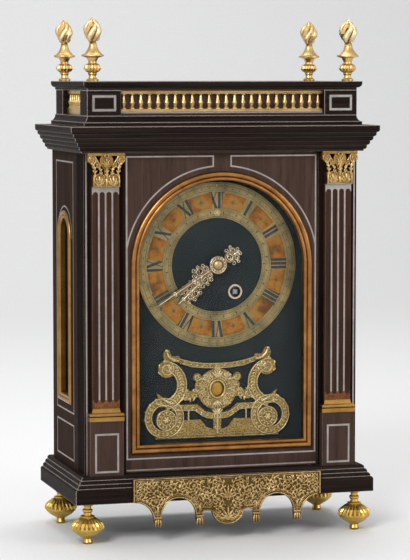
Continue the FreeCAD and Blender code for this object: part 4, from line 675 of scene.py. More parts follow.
def through(start, middle, end):
    """The arc through three points: its centre, its radius and its two end angles."""
    ax, az = start
    bx, bz = middle
    cx, cz = end
    turn = 2 * (ax * (bz - cz) + bx * (cz - az) + cx * (az - bz))
    a2, b2, c2 = ax * ax + az * az, bx * bx + bz * bz, cx * cx + cz * cz
    x = (a2 * (bz - cz) + b2 * (cz - az) + c2 * (az - bz)) / turn
    z = (a2 * (cx - bx) + b2 * (ax - cx) + c2 * (bx - ax)) / turn
    radius = math.hypot(ax - x, az - z)
    first = math.atan2(az - z, ax - x)
    mid = math.atan2(bz - z, bx - x)
    last = math.atan2(cz - z, cx - x)
    sweep = (last - first) % (2 * math.pi)
    if (mid - first) % (2 * math.pi) > sweep:
        sweep -= 2 * math.pi
    return x, z, radius, math.degrees(first), math.degrees(first + sweep)


apron_box = corners("apron_mount")
apron_front, apron_foot = apron_box[0][1:]
apron_height = apron_box[1][2] - apron_foot
arch = through((34.5, 11.7), (52.0, 29.2), (70.0, 10.2))
end_arch = through((96.5, 26.2), (84.5, 20.8), (78.5, 8.6))
pendant = through((17.5, 15.2), (12.4, 4.6), (0.0, 0.0))
print("apron height", round(apron_height, 1), "arch radius", round(arch[2], 1))

# %% [markdown]
# Three ridges run along every arch, plain lines frame the top and the ends, and small paws end the
# legs. They could be solids of their own, but as strokes they share the tools of the foliage. Only the
# right half is drawn and mirrored later, because the apron is symmetrical.

# %% Apron border and paws
border = []
for (x, z, radius, start, end), outward in ((arch, 1), (end_arch, 1), (pendant, -1)):
    for offset, width, rise in ((1.0, 1.7, 0.35), (2.9, 0.8, 0.1), (4.5, 1.2, 0.25)):
        border.append(even(arc(x, z, radius + outward * offset, start, end, 26), width, rise))
outer_z, inner_z = apron_height - 0.9, apron_height - 2.6
frame_lines = (
    ((0.0, outer_z), (99.4, outer_z), 1.4, 0.2),
    ((0.0, inner_z), (96.5, inner_z), 0.8, 0.1),
    ((98.9, 27.5), (98.9, outer_z), 1.8, 0.2),
    ((96.4, 28.5), (96.4, inner_z), 1.0, 0.1),
    ((17.6, 15.4), (26.6, 15.4), 1.5, 0.3),
    ((18.0, 18.0), (26.0, 18.0), 0.9, 0.1),
)
border += [even([start, end], width, rise) for start, end, width, rise in frame_lines]
for x in (30.1, 74.1):
    border += [leaf(x + offset, 8.4, -90 + tilt, 8.4, 2.6, -1.6 * tilt, 0.7)
               for offset, tilt in ((-1.9, -14), (0.0, 0), (1.9, 14))]
    border += [even([(x - reach, z), (x + reach, z)], width, rise)
               for z, reach, width, rise in ((10.0, 3.6, 2.6, 0.5), (12.9, 3.0, 1.5, 0.4))]
    border.append(leaf(x, 13.5, 90, 9.0, 3.0, 0.0, 0.4))
print("border strokes", len(border))

# %% [markdown]
# Between its borders the real apron is filled with foliate scrolls, so the room that each spot has to
# the nearest edge is needed. The edges could be tested as curves, but points set along them turn that
# into a plain search for the nearest one.

# %% Edges of the apron's ground
edge_points = []
for x, z, radius, start, end in (arch, end_arch, pendant):
    edge_points += arc(x, z, radius, start, end, 30)
straight_edges = (
    (17.5, 14.9, 1.0, 0.0, 10),
    (0.0, apron_height, 1.0, 0.0, 101),
    (100.0, 27.0, 0.0, 1.0, 24),
    (0.0, 0.0, 0.0, 2.0, 26),
    (26.8, 0.0, 0.0, 2.0, 8),
    (33.5, 0.0, 0.0, 2.0, 6),
    (70.5, 0.0, 0.0, 2.0, 6),
    (77.5, 0.0, 0.0, 2.0, 5),
)
for x, z, step_x, step_z, count in straight_edges:
    edge_points += [(x + step_x * step, z + step_z * step) for step in range(count)]
print("edge points", len(edge_points))

# %% [markdown]
# The scrolls are large where there is room and small in the corners. Placing them by hand would leave
# gaps, so circles of falling size are packed into the ground, each as large as its neighbours and the
# edges allow.


# %% Room for the scrolls
def inside(x, z):
    """Whether a point lies on the apron's right half, over the arches or on a leg."""
    if x < 17.5:
        return math.dist((x, z), pendant[:2]) < pendant[2] or z > pendant[1]
    over_arches = all(math.dist((x, z), edge[:2]) > edge[2] for edge in (arch, end_arch))
    on_leg = 27.0 < x < 33.0 or 71.0 < x < 77.0
    lowest = 30.0 if x > 96 else 9.0
    return over_arches and (z > 15.0 or on_leg) and z > lowest


border_width, largest, smallest, spacing = 2.6, 7.2, 1.1, 0.25
spots = [(x / 2, z / 2) for x in range(2, 198) for z in range(8, 98) if inside(x / 2, z / 2)]
room = {spot: min(math.dist(spot, point) for point in edge_points) - border_width for spot in spots}
circles = []
while True:
    best = max(spots, key=lambda spot: (round(min(room[spot], largest), 3), -spot[0], spot[1]))
    radius = min(room[best], largest)
    if radius < smallest:
        break
    circles.append((*best, radius))
    for spot in spots:
        room[spot] = min(room[spot], math.dist(spot, best) - radius - spacing)
print("apron scrolls", len(circles))

# %% [markdown]
# Each circle now gets its foliage: a rinceau where it is large, a flower between two leaves where it
# is smaller, and a single leaf in the last gaps. Turning each by the same uneven angle keeps
# neighbours from lining up. Two palmettes stand in the middle.

# %% Apron relief
uneven_turn = 137
scrolls = []
for number, (x, z, radius) in enumerate(circles):
    side = 1 if number % 2 else -1
    turn = uneven_turn * number
    if radius > 3.4:
        scrolls += rinceau(x, z, radius, 90 + turn, side * 540)
    elif radius > 1.9:
        for way in (turn, turn + 180):
            foot = (x - radius * math.cos(math.radians(way)), z - radius * math.sin(math.radians(way)))
            scrolls.append(leaf(*foot, way, 2.2 * radius, 0.75 * radius, side * 70, 0.25))
        scrolls += flower(x, z, 0.7 * radius, 5, 0.3)
    else:
        scrolls.append(leaf(x - radius, z, turn, 2.0 * radius, 0.9 * radius, side * 40, 0.2))
half = border + scrolls
middle = fan(0.0, 6.0, 90, (-78, -52, -26, 0, 26, 52, 78), 12.0, 18, 2.8, 1 / 3, 0.5)
middle += fan(0.0, 27.0, 90, (-66, -44, -22, 0, 22, 44, 66), 14.0, 12, 2.6, 1 / 4, 0.5)
middle += [ring(0.0, 6.0, 1.6, 1.2, 1.8, 0.7, 12), ring(0.0, 26.5, 1.8, 1.3, 1.8, 0.7, 12)]
relief("apron_relief", half + mirrored(half) + middle, on_front(apron_front, 0.0, apron_foot), apron_gilt_painted_highlight,
       "case")

# %% [markdown]
# Each capital is a small pierced casting nailed to the case. Volutes wind in at its corners, stalks
# with shaggy leaves carry them, two broad acanthus leaves rise from the neck and a palmette stands in
# the middle. The solid has the piercings, so strokes only model what the chaser cut on top.

# %% Capital foliage
capital_front, capital_foot = corners("right_capital")[0][1:]
volute, small_volute, broad_leaf = (15.4, 27.4), (8.2, 21.8), 7.2
outer_stalk = [(11.8, 11.5), (12.0, 16.5), (13.2, 21.5), (16.4, 25.4)]
inner_stalk = [(5.8, 11.0), (5.7, 14.5), (6.6, 18.2), (8.6, 20.0)]
outer_shoots, inner_shoots = ((12.0, 14.5), (12.6, 18.5), (14.2, 22.0)), ((5.8, 13.0), (6.2, 16.5))
strokes = []
for side in (-1, 1):
    volute_x, small_x, leaf_x = side * volute[0], side * small_volute[0], side * broad_leaf
    strokes.append(spiral(volute_x, volute[1], 3.5, 0.5, 90, -side * 640, 1.3, 0.7, 0.9))
    strokes.append(even(arc(volute_x, volute[1], 4.6, 90 + side * 40, 90 + side * 150, 8), 1.5, 0.5))
    strokes.append(spiral(small_x, small_volute[1], 2.3, 0.5, -60, side * 500, 1.1, 0.7, 0.3))
    strokes.append(tapered([(side * x, z) for x, z in inner_stalk], [1.6, 1.7, 1.8, 1.5], 0.1))
    strokes.append(tapered([(side * x, z) for x, z in outer_stalk], [2.4, 2.0, 2.2, 2.0], 0.1))
    strokes.append(even([(side * 8.2, 24.4), (side * 11.4, 28.6)], 1.6, 0.1))
    strokes += fan(leaf_x, 0.8, 90, (-52, -26, 0, 26, 52), 11.0, 18, 3.4, -1 / 2, -0.5)
    strokes += fan(leaf_x, 1.4, 90, (-40, -13, 13, 40), 9.4, 18, 0.8, -1 / 2, 1.0)
    strokes.append(even(arc(leaf_x, 7.6, 5.6, 25, 155, 10), 1.2, 0.8))
    strokes.append(leaf(side * 12.9, 1.0, 90, 11.5, 2.2, 0.0, 0.4))
    strokes += [leaf(side * x, z, 90 - side * turn, 3.8, 1.5, side * turn, 0.6)
                for x, z in outer_shoots for turn in (-65, 60)]
    strokes += [leaf(side * x, z, 90 - side * turn, 3.0, 1.3, side * turn, 0.6)
                for x, z in inner_shoots for turn in (-60, 60)]
    strokes += [even([(side * 11.8, z), (side * 18.4, z)], 0.8, 0.9) for z in (30.4, 31.9)]
print("side strokes of a capital", len(strokes))

# %% [markdown]
# The middle of the capital has a stem with three collars, a palmette over it and a boss on the
# abacus. Modelling each capital apart would double the work, so the same strokes serve both, each set
# on its own pilaster.

# %% Capital relief
pilaster_x = 123.5
fret_depth = 0.8
strokes += fan(0.0, 21.0, 90, (-50, -25, 0, 25, 50), 9.4, 16, 1.9, 1 / 4, 0.3)
strokes += [even([(0.0, 9.5), (0.0, 21.0)], 2.8, 0.3), ring(0.0, 31.0, 2.2, 1.4, 1.6, 1.2, 14)]
strokes += [ring(0.0, z, reach, 0.5, 1.4, 0.7, 12) for z, reach in ((12.5, 1.6), (16.0, 2.4), (20.8, 2.6))]
strokes.append(leaf(0.0, 0.8, 90, 9.0, 3.0, 0.0, -0.2))
strokes += [even([(-13.8, 0.7), (13.8, 0.7)], 1.3, 0.0), even([(-18.8, 33.2), (18.8, 33.2)], 1.0, 0.8)]
for side, label in ((-1, "left"), (1, "right")):
    place = on_front(capital_front + fret_depth, side * pilaster_x, capital_foot)
    relief(label + "_capital_relief", strokes, place, capital_gilt_painted_highlight, "case")

# %% [markdown]
# Figures and tracks are cut into the ring and filled with wax, level with it. Cutting the solid isn't
# allowed here, so they are plates less than a tenth of a millimetre high, made from outlines about the
# dial's centre.


# %% Thin plates
def from_shape(name, shape, finish, body, smooth=True):
    """Makes a piece from a finished bmesh, with its faces looking outward."""
    bmesh.ops.recalc_face_normals(shape, faces=shape.faces)
    mesh = bpy.data.meshes.new(name)
    shape.to_mesh(mesh)
    shape.free()
    print(name, len(mesh.polygons), "faces")
    return add_piece(name, mesh, finish, body, smooth)


def flat_piece(name, outlines, depth, finish, body):
    """Thin plates from outlines of (x, z) points, standing just over a face."""
    raised = 0.08
    shape = bmesh.new()
    for outline in outlines:
        front = [shape.verts.new(Vector((x, depth - raised, dial_z + z)) * mm) for x, z in outline]
        back = [shape.verts.new(Vector((x, depth, dial_z + z)) * mm) for x, z in outline]
        shape.faces.new(front)
        shape.faces.new(back[::-1])
        for here in range(len(outline)):
            there = (here + 1) % len(outline)
            shape.faces.new((front[here], back[here], back[there], front[there]))
    return from_shape(name, shape, finish, body, False)


print("plate tools ready")

# %% [markdown]
# Everything on a dial is laid out by angle and radius. Each corner could be worked out on its own, but
# bars, lozenges and bands that know their clock angle keep the tracks short to write. Angles run
# clockwise from twelve.


# %% Outlines on the dial
def polar(angle, radius, across=0.0):
    """A point at a clock angle, moved sideways by a distance across it."""
    turn = math.radians(angle)
    sine, cosine = math.sin(turn), math.cos(turn)
    return (radius * sine + across * cosine, radius * cosine - across * sine)


def bar(angle, low, high, foot, head, width):
    """A bar from a foot to a head, each a distance across the angle's own radius."""
    half = width / 2
    return [polar(angle, low, foot - half), polar(angle, low, foot + half),
            polar(angle, high, head + half), polar(angle, high, head - half)]


def lozenge(angle, low, middle, high, half):
    return [polar(angle, low), polar(angle, middle, half), polar(angle, high), polar(angle, middle, -half)]


def band(angle, width, inner, outer, steps=6):
    angles = [angle - width / 2 + width * step / steps for step in range(steps + 1)]
    return [polar(turn, outer) for turn in angles] + [polar(turn, inner) for turn in reversed(angles)]


def circle_bands(radius, width, pieces=24):
    angles = [(piece + 0.5) * 360 / pieces for piece in range(pieces)]
    return [band(angle, 360 / pieces, radius - width / 2, radius + width / 2, 4) for angle in angles]


print("outline tools ready")

# %% [markdown]
# The hours are Roman, with their feet to the centre and IIII for four. A font could set them, but its
# letters wouldn't lean with the ring. Every figure is built from bars, thick and thin as an engraver
# cuts them, with a fine serif across each end.

# %% Hours
ring_front = corners("chapter_ring")[0][1]
numeral_low, numeral_high = 58.2, 74.6
thick, thin, serif_width, serif_half = 2.9, 0.9, 3.8, 0.25
glyph_widths = {"I": 4.0, "V": 8.4, "X": 8.8}
glyph_bars = {
    "I": [(0, 0, thick)],
    "V": [(0, -1, thick), (0, 1, thin)],
    "X": [(1, -1, thick), (-1, 1, thin)],
}
hours = ["XII", "I", "II", "III", "IIII", "V", "VI", "VII", "VIII", "IX", "X", "XI"]
figures = []
for hour, text in enumerate(hours):
    angle = hour * 30
    across = -sum(glyph_widths[glyph] for glyph in text) / 2
    for glyph in text:
        middle = across + glyph_widths[glyph] / 2
        reach = glyph_widths[glyph] / 2 - 1.3
        ends = set()
        for foot, head, width in glyph_bars[glyph]:
            foot_x, head_x = middle + foot * reach, middle + head * reach
            figures.append(bar(angle, numeral_low, numeral_high, foot_x, head_x, width))
            ends |= {(numeral_low, foot_x), (numeral_high, head_x)}
        for end, place in sorted(ends):
            figures.append(bar(angle, end - serif_half, end + serif_half, place, place, serif_width))
        across += glyph_widths[glyph]
flat_piece("hour_numerals", figures, ring_front, black_wax, "case")

# %% [markdown]
# Outside the hours runs the minute track, between three fine circles: a mark and a lozenge for every
# minute, small marks for its quarters and a slanted figure instead of every fifth lozenge. Inside the
# hours runs the quarter track. Loops set them out, as the engraver's dividing plate did.

# %% Minute and quarter tracks
minute_turn, quarter_turn = 6, 3.75
track = circle_bands(76.6, 0.3) + circle_bands(81.0, 0.3) + circle_bands(83.8, 0.35)
for minute in range(60):
    angle = minute * minute_turn
    fifth = minute % 5 == 0
    track.append(bar(angle, 81.0, 83.8, 0.0, 0.0, 0.9 if fifth else 0.35))
    track += [bar(angle + step * 1.5, 81.0, 82.2, 0.0, 0.0, 0.25) for step in (1, 2, 3)]
    if fifth:
        track += [band(angle, 3.2, low, high) for low, high in ((77.6, 77.9), (79.8, 80.1))]
        track.append(bar(angle, 77.6, 80.1, -1.6, 1.6, 0.5))
    else:
        track.append(lozenge(angle, 77.9, 78.8, 79.7, 0.7))
flat_piece("minute_track", track, ring_front, black_wax, "case")
quarters = circle_bands(49.6, 0.35) + circle_bands(51.8, 0.3) + circle_bands(56.4, 0.3)
for quarter in range(96):
    angle = quarter * quarter_turn
    quarters.append(bar(angle, 49.6, 51.8, 0.0, 0.0, 0.3 if quarter % 8 else 0.8))
    if quarter % 4 == 2:
        quarters.append(lozenge(angle, 52.6, 54.0, 55.6, 0.8))
flat_piece("quarter_track", quarters, ring_front, black_wax, "case")

# %% [markdown]
# Each lacquered plate between the hours has an engraved star of eight points and a fine line at its
# foot and head. Four corners make a point of the star, so one short loop draws them all.

# %% Stars on the plates
plate_front = corners("chapter_cartouches")[0][1]
star_radius, long_point, short_point, plate_turn = 65.8, 4.4, 3.0, 18.4
stars = []
for hour in range(12):
    angle = hour * 30 + 15
    centre_x, centre_z = polar(angle, star_radius)
    for point in range(8):
        turn = point * 45 + angle
        tip = polar(turn, short_point if point % 2 else long_point)
        outline = (polar(turn, 0.3), polar(turn - 24, 1.0), tip, polar(turn + 24, 1.0))
        stars.append([(centre_x + x, centre_z + z) for x, z in outline])
    stars += [band(angle, plate_turn, low, high) for low, high in ((58.6, 59.0), (72.9, 73.3))]
flat_piece("plate_stars", stars, plate_front, brown_wax, "case")

# %% [markdown]
# The rims of the ornament carry leaves in rows, and its rosettes and medallion carry them in wheels.
# Every leaf could be a row of a table, but its foot and its direction follow from the rim's own line,
# so two short tools work them out.


# %% Rows and wheels of leaves
def leaf_wheel(x, z, radius_x, radius_z, angles, length, width, rise):
    """Leaves that stand out from an oval."""
    out = []
    for angle in angles:
        turn = math.radians(angle)
        foot = (x + radius_x * math.cos(turn), z + radius_z * math.sin(turn))
        out.append(leaf(*foot, angle, length, width, 0.0, rise))
    return out


def leaf_row(points, length, width, tilt):
    """Small leaves that leave a line on both sides, like chased foliage."""
    out = []
    for (x0, z0), (x1, z1) in zip(points, points[1:]):
        along = math.degrees(math.atan2(z1 - z0, x1 - x0))
        out += [leaf(x0, z0, along + turn, length, width, -turn / 2) for turn in (-tilt, tilt)]
    return out


print("leaf rows and wheels ready")

# %% [markdown]
# The ornament under the dial is a gilt casting with a granular, punched ground. Two C-shaped arms stand
# on two wheels with rosettes, and a bowed bar joins their tops. The solid gives the openwork, and here
# the arms get raised rims with a row of leaves between them. Only the right half is drawn.

# %% Ornament: arms, wheels and top
rim_rise = 0.6
arm, wheel, rosette, top_scroll = (58.5, 55.8), (56.9, 21.9), (54.6, 19.5), (53.8, 72.5)
half = [even(arc(*arm, radius, 102, 260, 24), 1.4, rim_rise) for radius in (15.9, 25.2)]
half += leaf_row(arc(*arm, 20.6, 106, 256, 17), 4.2, 1.7, 50)
half += [ring(*wheel, 20.5, 20.5, 1.5, rim_rise), ring(*wheel, 13.6, 13.6, 1.3, rim_rise)]
half += leaf_row(arc(*wheel, 17.1, 0, 360, 24), 3.3, 1.5, 50)
half += [ring(*rosette, 10.1, 10.1, 1.4, rim_rise), ring(*rosette, 5.4, 5.4, 0.9, 0.4)]
half += flower(*rosette, 4.4, 6, 0.5) + leaf_wheel(*rosette, 6.2, 6.2, range(0, 360, 30), 3.4, 1.7, 0.2)
top_low = [(0.0, 72.3), (14.0, 72.7), (28.0, 74.4), (40.0, 78.2)]
top_high = [(0.0, 76.6), (14.0, 77.0), (28.0, 79.0), (42.5, 83.0)]
half += [even(top_low, 1.2, rim_rise), even(top_high, 1.4, rim_rise)]
half += leaf_row([(6.8 * step, 74.4 + 0.0035 * (6.8 * step) ** 2) for step in range(7)], 3.6, 1.5, 36)
horn = [(41.0, 80.5), (47.5, 81.6), (52.5, 85.4), (54.6, 90.6)]
half += [tapered(horn, [3.0, 3.8, 3.2, 2.0], 0.2), ring(54.6, 91.2, 0.8, 0.8, 2.4, rim_rise, 8)]
half += [spiral(*top_scroll, 8.2, 1.4, 60, 640, 1.8, 1.2, 0.3), leaf(46.0, 75.0, 200, 6.0, 2.4, 50, 0.3)]
print("arm, wheel and top strokes", len(half))

# %% [markdown]
# A stepped bar links the wheels and a plain foot carries them. Small scrolls and sprigs fill the gaps
# between arm and medallion. They are loose and uneven on the real casting, so tables list them one by
# one: place, direction, length, width and bend.

# %% Ornament: bar, foot and sprigs
bar_line = [(47.0, 32.0), (35.0, 31.8), (24.0, 31.2), (18.0, 27.0), (11.0, 23.0), (0.0, 22.6)]
bar_leaves = [(46.0, 32.0), (40.0, 31.9), (34.0, 31.7), (28.0, 31.4), (22.5, 30.0), (17.5, 26.6),
              (12.0, 23.8), (6.0, 22.8), (1.0, 22.6)]
half += [even([(x, z + offset) for x, z in bar_line], 1.1, 0.5) for offset in (2.4, -2.4)]
half += leaf_row(bar_leaves, 3.6, 1.5, 40)
half += [even([(1.0, 0.9), (66.0, 0.9)], 1.3, 0.2), even([(2.0, 3.6), (64.0, 3.6)], 0.8, 0.1)]
half += [even([(31.0, 19.0), (31.0, 29.0)], 2.2, 0.1), ring(24.5, 44.0, 2.0, 2.0, 1.2, 0.3, 12)]
half.append(spiral(34.0, 44.0, 3.6, 0.8, 180, -500, 1.3, 0.8, 0.3))
half.append(spiral(21.5, 62.8, 3.6, 0.8, 200, 420, 1.6, 1.0, 0.4))
loose_leaves = ((48.0, 36.0, 22, 15.0, 3.2, 22), (54.0, 34.0, 12, 11.0, 2.4, 20),
                (61.0, 36.0, 5, 6.0, 2.0, 20), (12.0, 60.0, 10, 9.0, 2.4, 25),
                (16.0, 55.0, -20, 8.0, 2.2, 50))
half += [leaf(*row, 0.3) for row in loose_leaves]
rims_with_tips = ((*arm, 16.4, 140, 235, 2, -1), (*wheel, 20.2, -10, 60, 3, 1),
                  (*top_scroll, 8.0, -40, 60, 2, 1))
for x, z, radius, first, last, count, outward in rims_with_tips:
    for tip_x, tip_z in arc(x, z, radius, first, last, count):
        away = math.degrees(math.atan2(outward * (tip_z - z), outward * (tip_x - x)))
        half.append(leaf(tip_x, tip_z, away + 60, 4.4, 2.4, 50, 0.0))
sprigs = ((22.0, 47.0, 60), (27.0, 47.5, 110), (32.5, 48.0, 70), (24.0, 42.5, -70), (29.5, 42.0, -110),
          (36.0, 42.5, -60), (38.0, 48.0, 95))
for x, z, angle in sprigs:
    half += [leaf(x, z, angle, 5.0, 2.0, 40, 0.2), leaf(x, z, angle + 40, 3.6, 1.5, 50, 0.1)]
print("strokes of half the ornament", len(half))

# %% [markdown]
# The medallion in the middle is an oval with a double rim, a ring of small leaves and four rinceaux on
# each side of it. Fans of leaves crown it and hang below it. With these the half is mirrored, and the
# strokes sink a little into the plate, so that it reads as one casting.

# %% Ornament: medallion and relief
ornament_front, ornament_foot = corners("dial_ornament")[0][1:]
medallion_z, sunk = 50.2, 0.15
rinceaux = ((10.6, 62.6, 4.3, 200, -520), (15.6, 54.6, 3.9, 230, 500), (15.8, 45.6, 3.8, 130, -500),
            (10.8, 37.6, 4.2, 150, 520))
for scroll in rinceaux:
    half += rinceau(*scroll)
middle = [ring(0.0, medallion_z, 8.0, 9.1, 2.0, rim_rise), ring(0.0, medallion_z, 10.6, 11.7, 1.0, 0.3)]
middle += leaf_wheel(0.0, medallion_z, 11.2, 12.2, range(0, 360, 24), 3.2, 1.8, 0.2)
middle += [even([(0.0, 68.0), (0.0, 73.0)], 2.8, 0.2), even([(0.0, 4.0), (0.0, 30.0)], 2.8, 0.1)]
middle += [ring(0.0, 71.0, 2.6, 0.8, 1.4, rim_rise, 12), ring(0.0, 22.6, 3.4, 2.6, 1.6, rim_rise, 16)]
middle.append(ring(0.0, 10.0, 2.6, 1.8, 1.4, 0.5, 14))
for foot, upward in ((62.0, 90), (38.0, -90)):
    middle += [leaf(0.0, foot, upward + tilt, 9.0, 2.3, -tilt / 3, 0.3) for tilt in (-50, -25, 0, 25, 50)]
middle += [leaf(0.0, 24.0, 90 + tilt, 8.0, 2.2, 0.0, 0.2) for tilt in (-50, -25, 25, 50)]
place = on_front(ornament_front + sunk, 0.0, ornament_foot)
relief("ornament_relief", half + mirrored(half) + middle, place, bright_brass_painted_highlight, "case")

# %% [markdown]
# The medallion holds an orange oval, a low cabochon behind its rim. A sphere, pressed flat and cut at
# the dial plate, has the same soft crown, and its cut is closed so that the piece stays solid.

# %% Medallion cabochon
dial_front = corners("dial_plate")[0][1]
centre_y, centre_z = dial_front - 0.2, ornament_foot + medallion_z
half_width, half_depth, half_height = 6.7, 2.0, 7.8
cabochon = bmesh.new()
bmesh.ops.create_uvsphere(cabochon, u_segments=32, v_segments=16, radius=1.0)
for vert in cabochon.verts:
    x, y, z = vert.co
    vert.co = Vector((x * half_width, centre_y - y * half_depth, centre_z + z * half_height)) * mm
bmesh.ops.bisect_plane(cabochon, geom=cabochon.verts[:] + cabochon.edges[:] + cabochon.faces[:],
                       plane_co=Vector((0.0, dial_front, 0.0)) * mm, plane_no=(0, 1, 0), clear_outer=True)
bmesh.ops.holes_fill(cabochon, edges=[edge for edge in cabochon.edges if edge.is_boundary])
from_shape("medallion_cabochon", cabochon, amber_lacquer, "case")

# %% [markdown]
# Under its flame each urn spreads into a bell with a thin lip. A turner would cut it on the lathe, so
# its profile is spun round the urn's axis here, as rings of points from the lip up to the neck.

# %% Urn bells
urn_low, urn_high = corners("finials")
urn_radius, urn_height = 11.1, urn_high[2] - urn_low[2]
axis_reach_x, axis_reach_y = urn_high[0] - urn_radius, urn_high[1] - urn_radius
urn_axes = {
    "front_left_urn": (-axis_reach_x, -axis_reach_y),
    "front_right_urn": (axis_reach_x, -axis_reach_y),
    "back_left_urn": (-axis_reach_x, axis_reach_y),
    "back_right_urn": (axis_reach_x, axis_reach_y),
}
bell_shares = [(0.392, 0.0), (0.392, 0.96), (0.398, 1.0), (0.41, 0.95), (0.43, 0.82), (0.455, 0.68),
               (0.485, 0.55), (0.52, 0.44), (0.56, 0.36), (0.61, 0.31), (0.61, 0.0)]


def on_urn(axis, turn, reach, share):
    """A point at a turn, a reach and a share of the height of the urn on an axis."""
    x, y = axis[0] + reach * math.cos(turn), axis[1] + reach * math.sin(turn)
    return Vector((x, y, urn_low[2] + urn_height * share)) * mm


def turned(name, profile, axis, finish, body, steps=40):
    """Spins (height share, radius share) points round an urn's axis into a closed mesh."""
    shape = bmesh.new()
    rows = []
    for share, wide in profile:
        turns = [2 * math.pi * step / steps for step in range(steps)] if wide else [0.0]
        rows.append([shape.verts.new(on_urn(axis, turn, urn_radius * wide, share)) for turn in turns])
    for low, high in zip(rows, rows[1:]):
        for step in range(steps):
            around = ((low, step), (low, step + 1), (high, step + 1), (high, step))
            face = [row[place % len(row)] for row, place in around]
            shape.faces.new(list(dict.fromkeys(face)))
    return from_shape(name, shape, finish, body)


for label, axis in urn_axes.items():
    turned(label + "_bell", bell_shares, axis, pale_gilt, "case")

# %% [markdown]
# Each urn ends in a flame. The founder cast it as a bud, and the chaser raised five uneven tongues
# that lick up round it. Sculpting would do, but here each tongue is a stroke on the bud's surface,
# thick at its middle, so the tools of the relief serve again.

# %% Flame tongues
bud_shares = [(0.64, 0.40), (0.68, 0.60), (0.76, 0.74), (0.85, 0.66), (0.93, 0.42), (0.99, 0.12)]
bud_foot, ripple, sink = bud_shares[0][0], 1.3, -1.5


def bud_radius(share):
    """The bud's radius at a share of the urn's height, between the listed rings."""
    for (low, small), (high, large) in zip(bud_shares, bud_shares[1:]):
        if share <= high:
            return urn_radius * (small + (large - small) * (share - low) / (high - low))
    return urn_radius * bud_shares[-1][1]


def on_bud(axis):
    """Places (turn in degrees, height share) on the bud of the urn on an axis."""
    def place(turn, share, rise):
        angle = math.radians(turn)
        reach = bud_radius(share) + rise + ripple * math.sin(3 * angle + 14 * share)
        return on_urn(axis, angle, reach, share)
    return place


tongue_rows = ((0, 40, 0.98, 5.8), (68, 58, 0.90, 6.4), (140, 30, 0.95, 5.4), (215, 62, 0.88, 6.6),
               (290, 36, 0.96, 5.8))
tongues = []
for foot, turn, top, width in tongue_rows:
    path = []
    widths = []
    for step in range(11):
        path.append((foot + turn * math.sin(0.157 * step) ** 2, bud_foot + (top - bud_foot) * step / 10))
        widths.append(width * (0.35 + 0.65 * math.sin(math.pi * (0.12 + 0.085 * step))))
    tongues.append(tapered(path, widths, sink))
for label, axis in urn_axes.items():
    relief(label + "_flame", tongues, on_bud(axis), flame_gilt, "case")

# %% [markdown]
# A thin ebony fillet runs along the foot of the front balustrade and leaves only a narrow gilt rail
# above it. It is a painted shade: a dark strip set where the foot of the rail lies in shadow. It is
# planed as one moulded strip, so its profile is drawn out along the case. Fine beads on the two rails
# are cast with them, and strokes add them.


# %% Balustrade shade fillet and beads
def moulded_strip(name, profile, low_x, high_x, finish, body):
    """A strip along X from a closed (y, z) profile, with its ends closed."""
    shape = bmesh.new()
    ends = [[shape.verts.new(Vector((x, y, z)) * mm) for y, z in profile] for x in (low_x, high_x)]
    for here in range(len(profile)):
        there = (here + 1) % len(profile)
        shape.faces.new((ends[0][here], ends[0][there], ends[1][there], ends[1][here]))
    shape.faces.new(ends[0])
    shape.faces.new(ends[1][::-1])
    return from_shape(name, shape, finish, body, False)


(rail_left, rail_front, rail_foot), (rail_right, _, rail_top) = corners("front_balustrade")
# The fillet is painted shade: a dark ebony strip standing for the shadow at the rail's foot.
shade_fillet_shape = ((0.0, 0.0), (1.2, 0.0), (1.2, 1.6), (0.9, 2.2), (0.4, 2.6), (0.4, 3.4), (0.0, 3.4))
shade_fillet = [(rail_front - forward, rail_foot + height) for forward, height in shade_fillet_shape]
moulded_strip("balustrade_shade_fillet", shade_fillet, rail_left + 0.1, rail_right - 0.1, ebony_level, "case")
bead_heights = (rail_foot + 4.2, rail_foot + 6.0, rail_top - 2.9, rail_top - 0.8)
beads = [even([(rail_left + 0.5, z), (rail_right - 0.5, z)], 0.9, 0.1) for z in bead_heights]
relief("balustrade_beads", beads, on_front(rail_front), pale_gilt, "case")

# %% [markdown]
# The hands are sawn from brass, then filed and chased. Wiry curls fill and fringe their pierced rings,
# a raised rib runs down each blade, and lines are turned into the hub. Drawn straight up and then
# turned to the hour, each set of strokes rides on its own hand.


# %% Hand tools
def on_hand(angle, front):
    """Places (across, along) on a hand that points to a clock angle."""
    def place(across, along, rise):
        x, z = polar(angle, along, across)
        return Vector((x, front - rise, dial_z + z)) * mm
    return place


def curls(rows, width, rise):
    """Pairs of small scrolls on both sides of a hand: (across, along, radius, start, sweep)."""
    half = [spiral(x, z, radius, 0.2 * radius, start, sweep, width, 0.75 * width, rise)
            for x, z, radius, start, sweep in rows]
    return half + mirrored(half)


print("hand tools ready")

# %% [markdown]
# The minute hand has its curls next to the hub, a long rib and a curled tail. The hour hand is shorter
# and has its curls near its end. Wires could be bent one by one, but each row below places one curl on
# the right, and the tool adds its mirror image.

# %% Hand scrolls
minute_angle, hour_angle = 237.7, 226.5
minute_front, hour_front = corners("minute_hand")[0][1], corners("hour_hand")[0][1]
minute_curls = ((5.0, 20.0, 4.3, 180, -560), (3.9, 13.6, 3.0, 180, 520), (9.6, 25.0, 2.7, 215, -430),
                (8.7, 14.6, 2.4, 150, 430), (4.6, 27.6, 2.6, 230, -430), (10.6, 19.6, 1.9, 180, -400))
tail_curls = ((0.0, -14.2, 4.4, 90, 560), (3.9, -20.7, 2.6, 90, -520), (7.6, -14.6, 2.5, 180, 430),
              (8.6, -20.6, 2.0, 170, -420), (3.0, -25.8, 2.3, 100, 430))
hour_curls = ((4.35, 37.1, 3.7, 180, -540), (3.2, 44.1, 2.7, 180, 500), (8.6, 41.6, 2.4, 200, -420),
              (8.0, 33.2, 2.3, 150, 420), (6.6, 48.0, 2.0, 215, -420), (4.4, 30.6, 2.2, 150, 430))
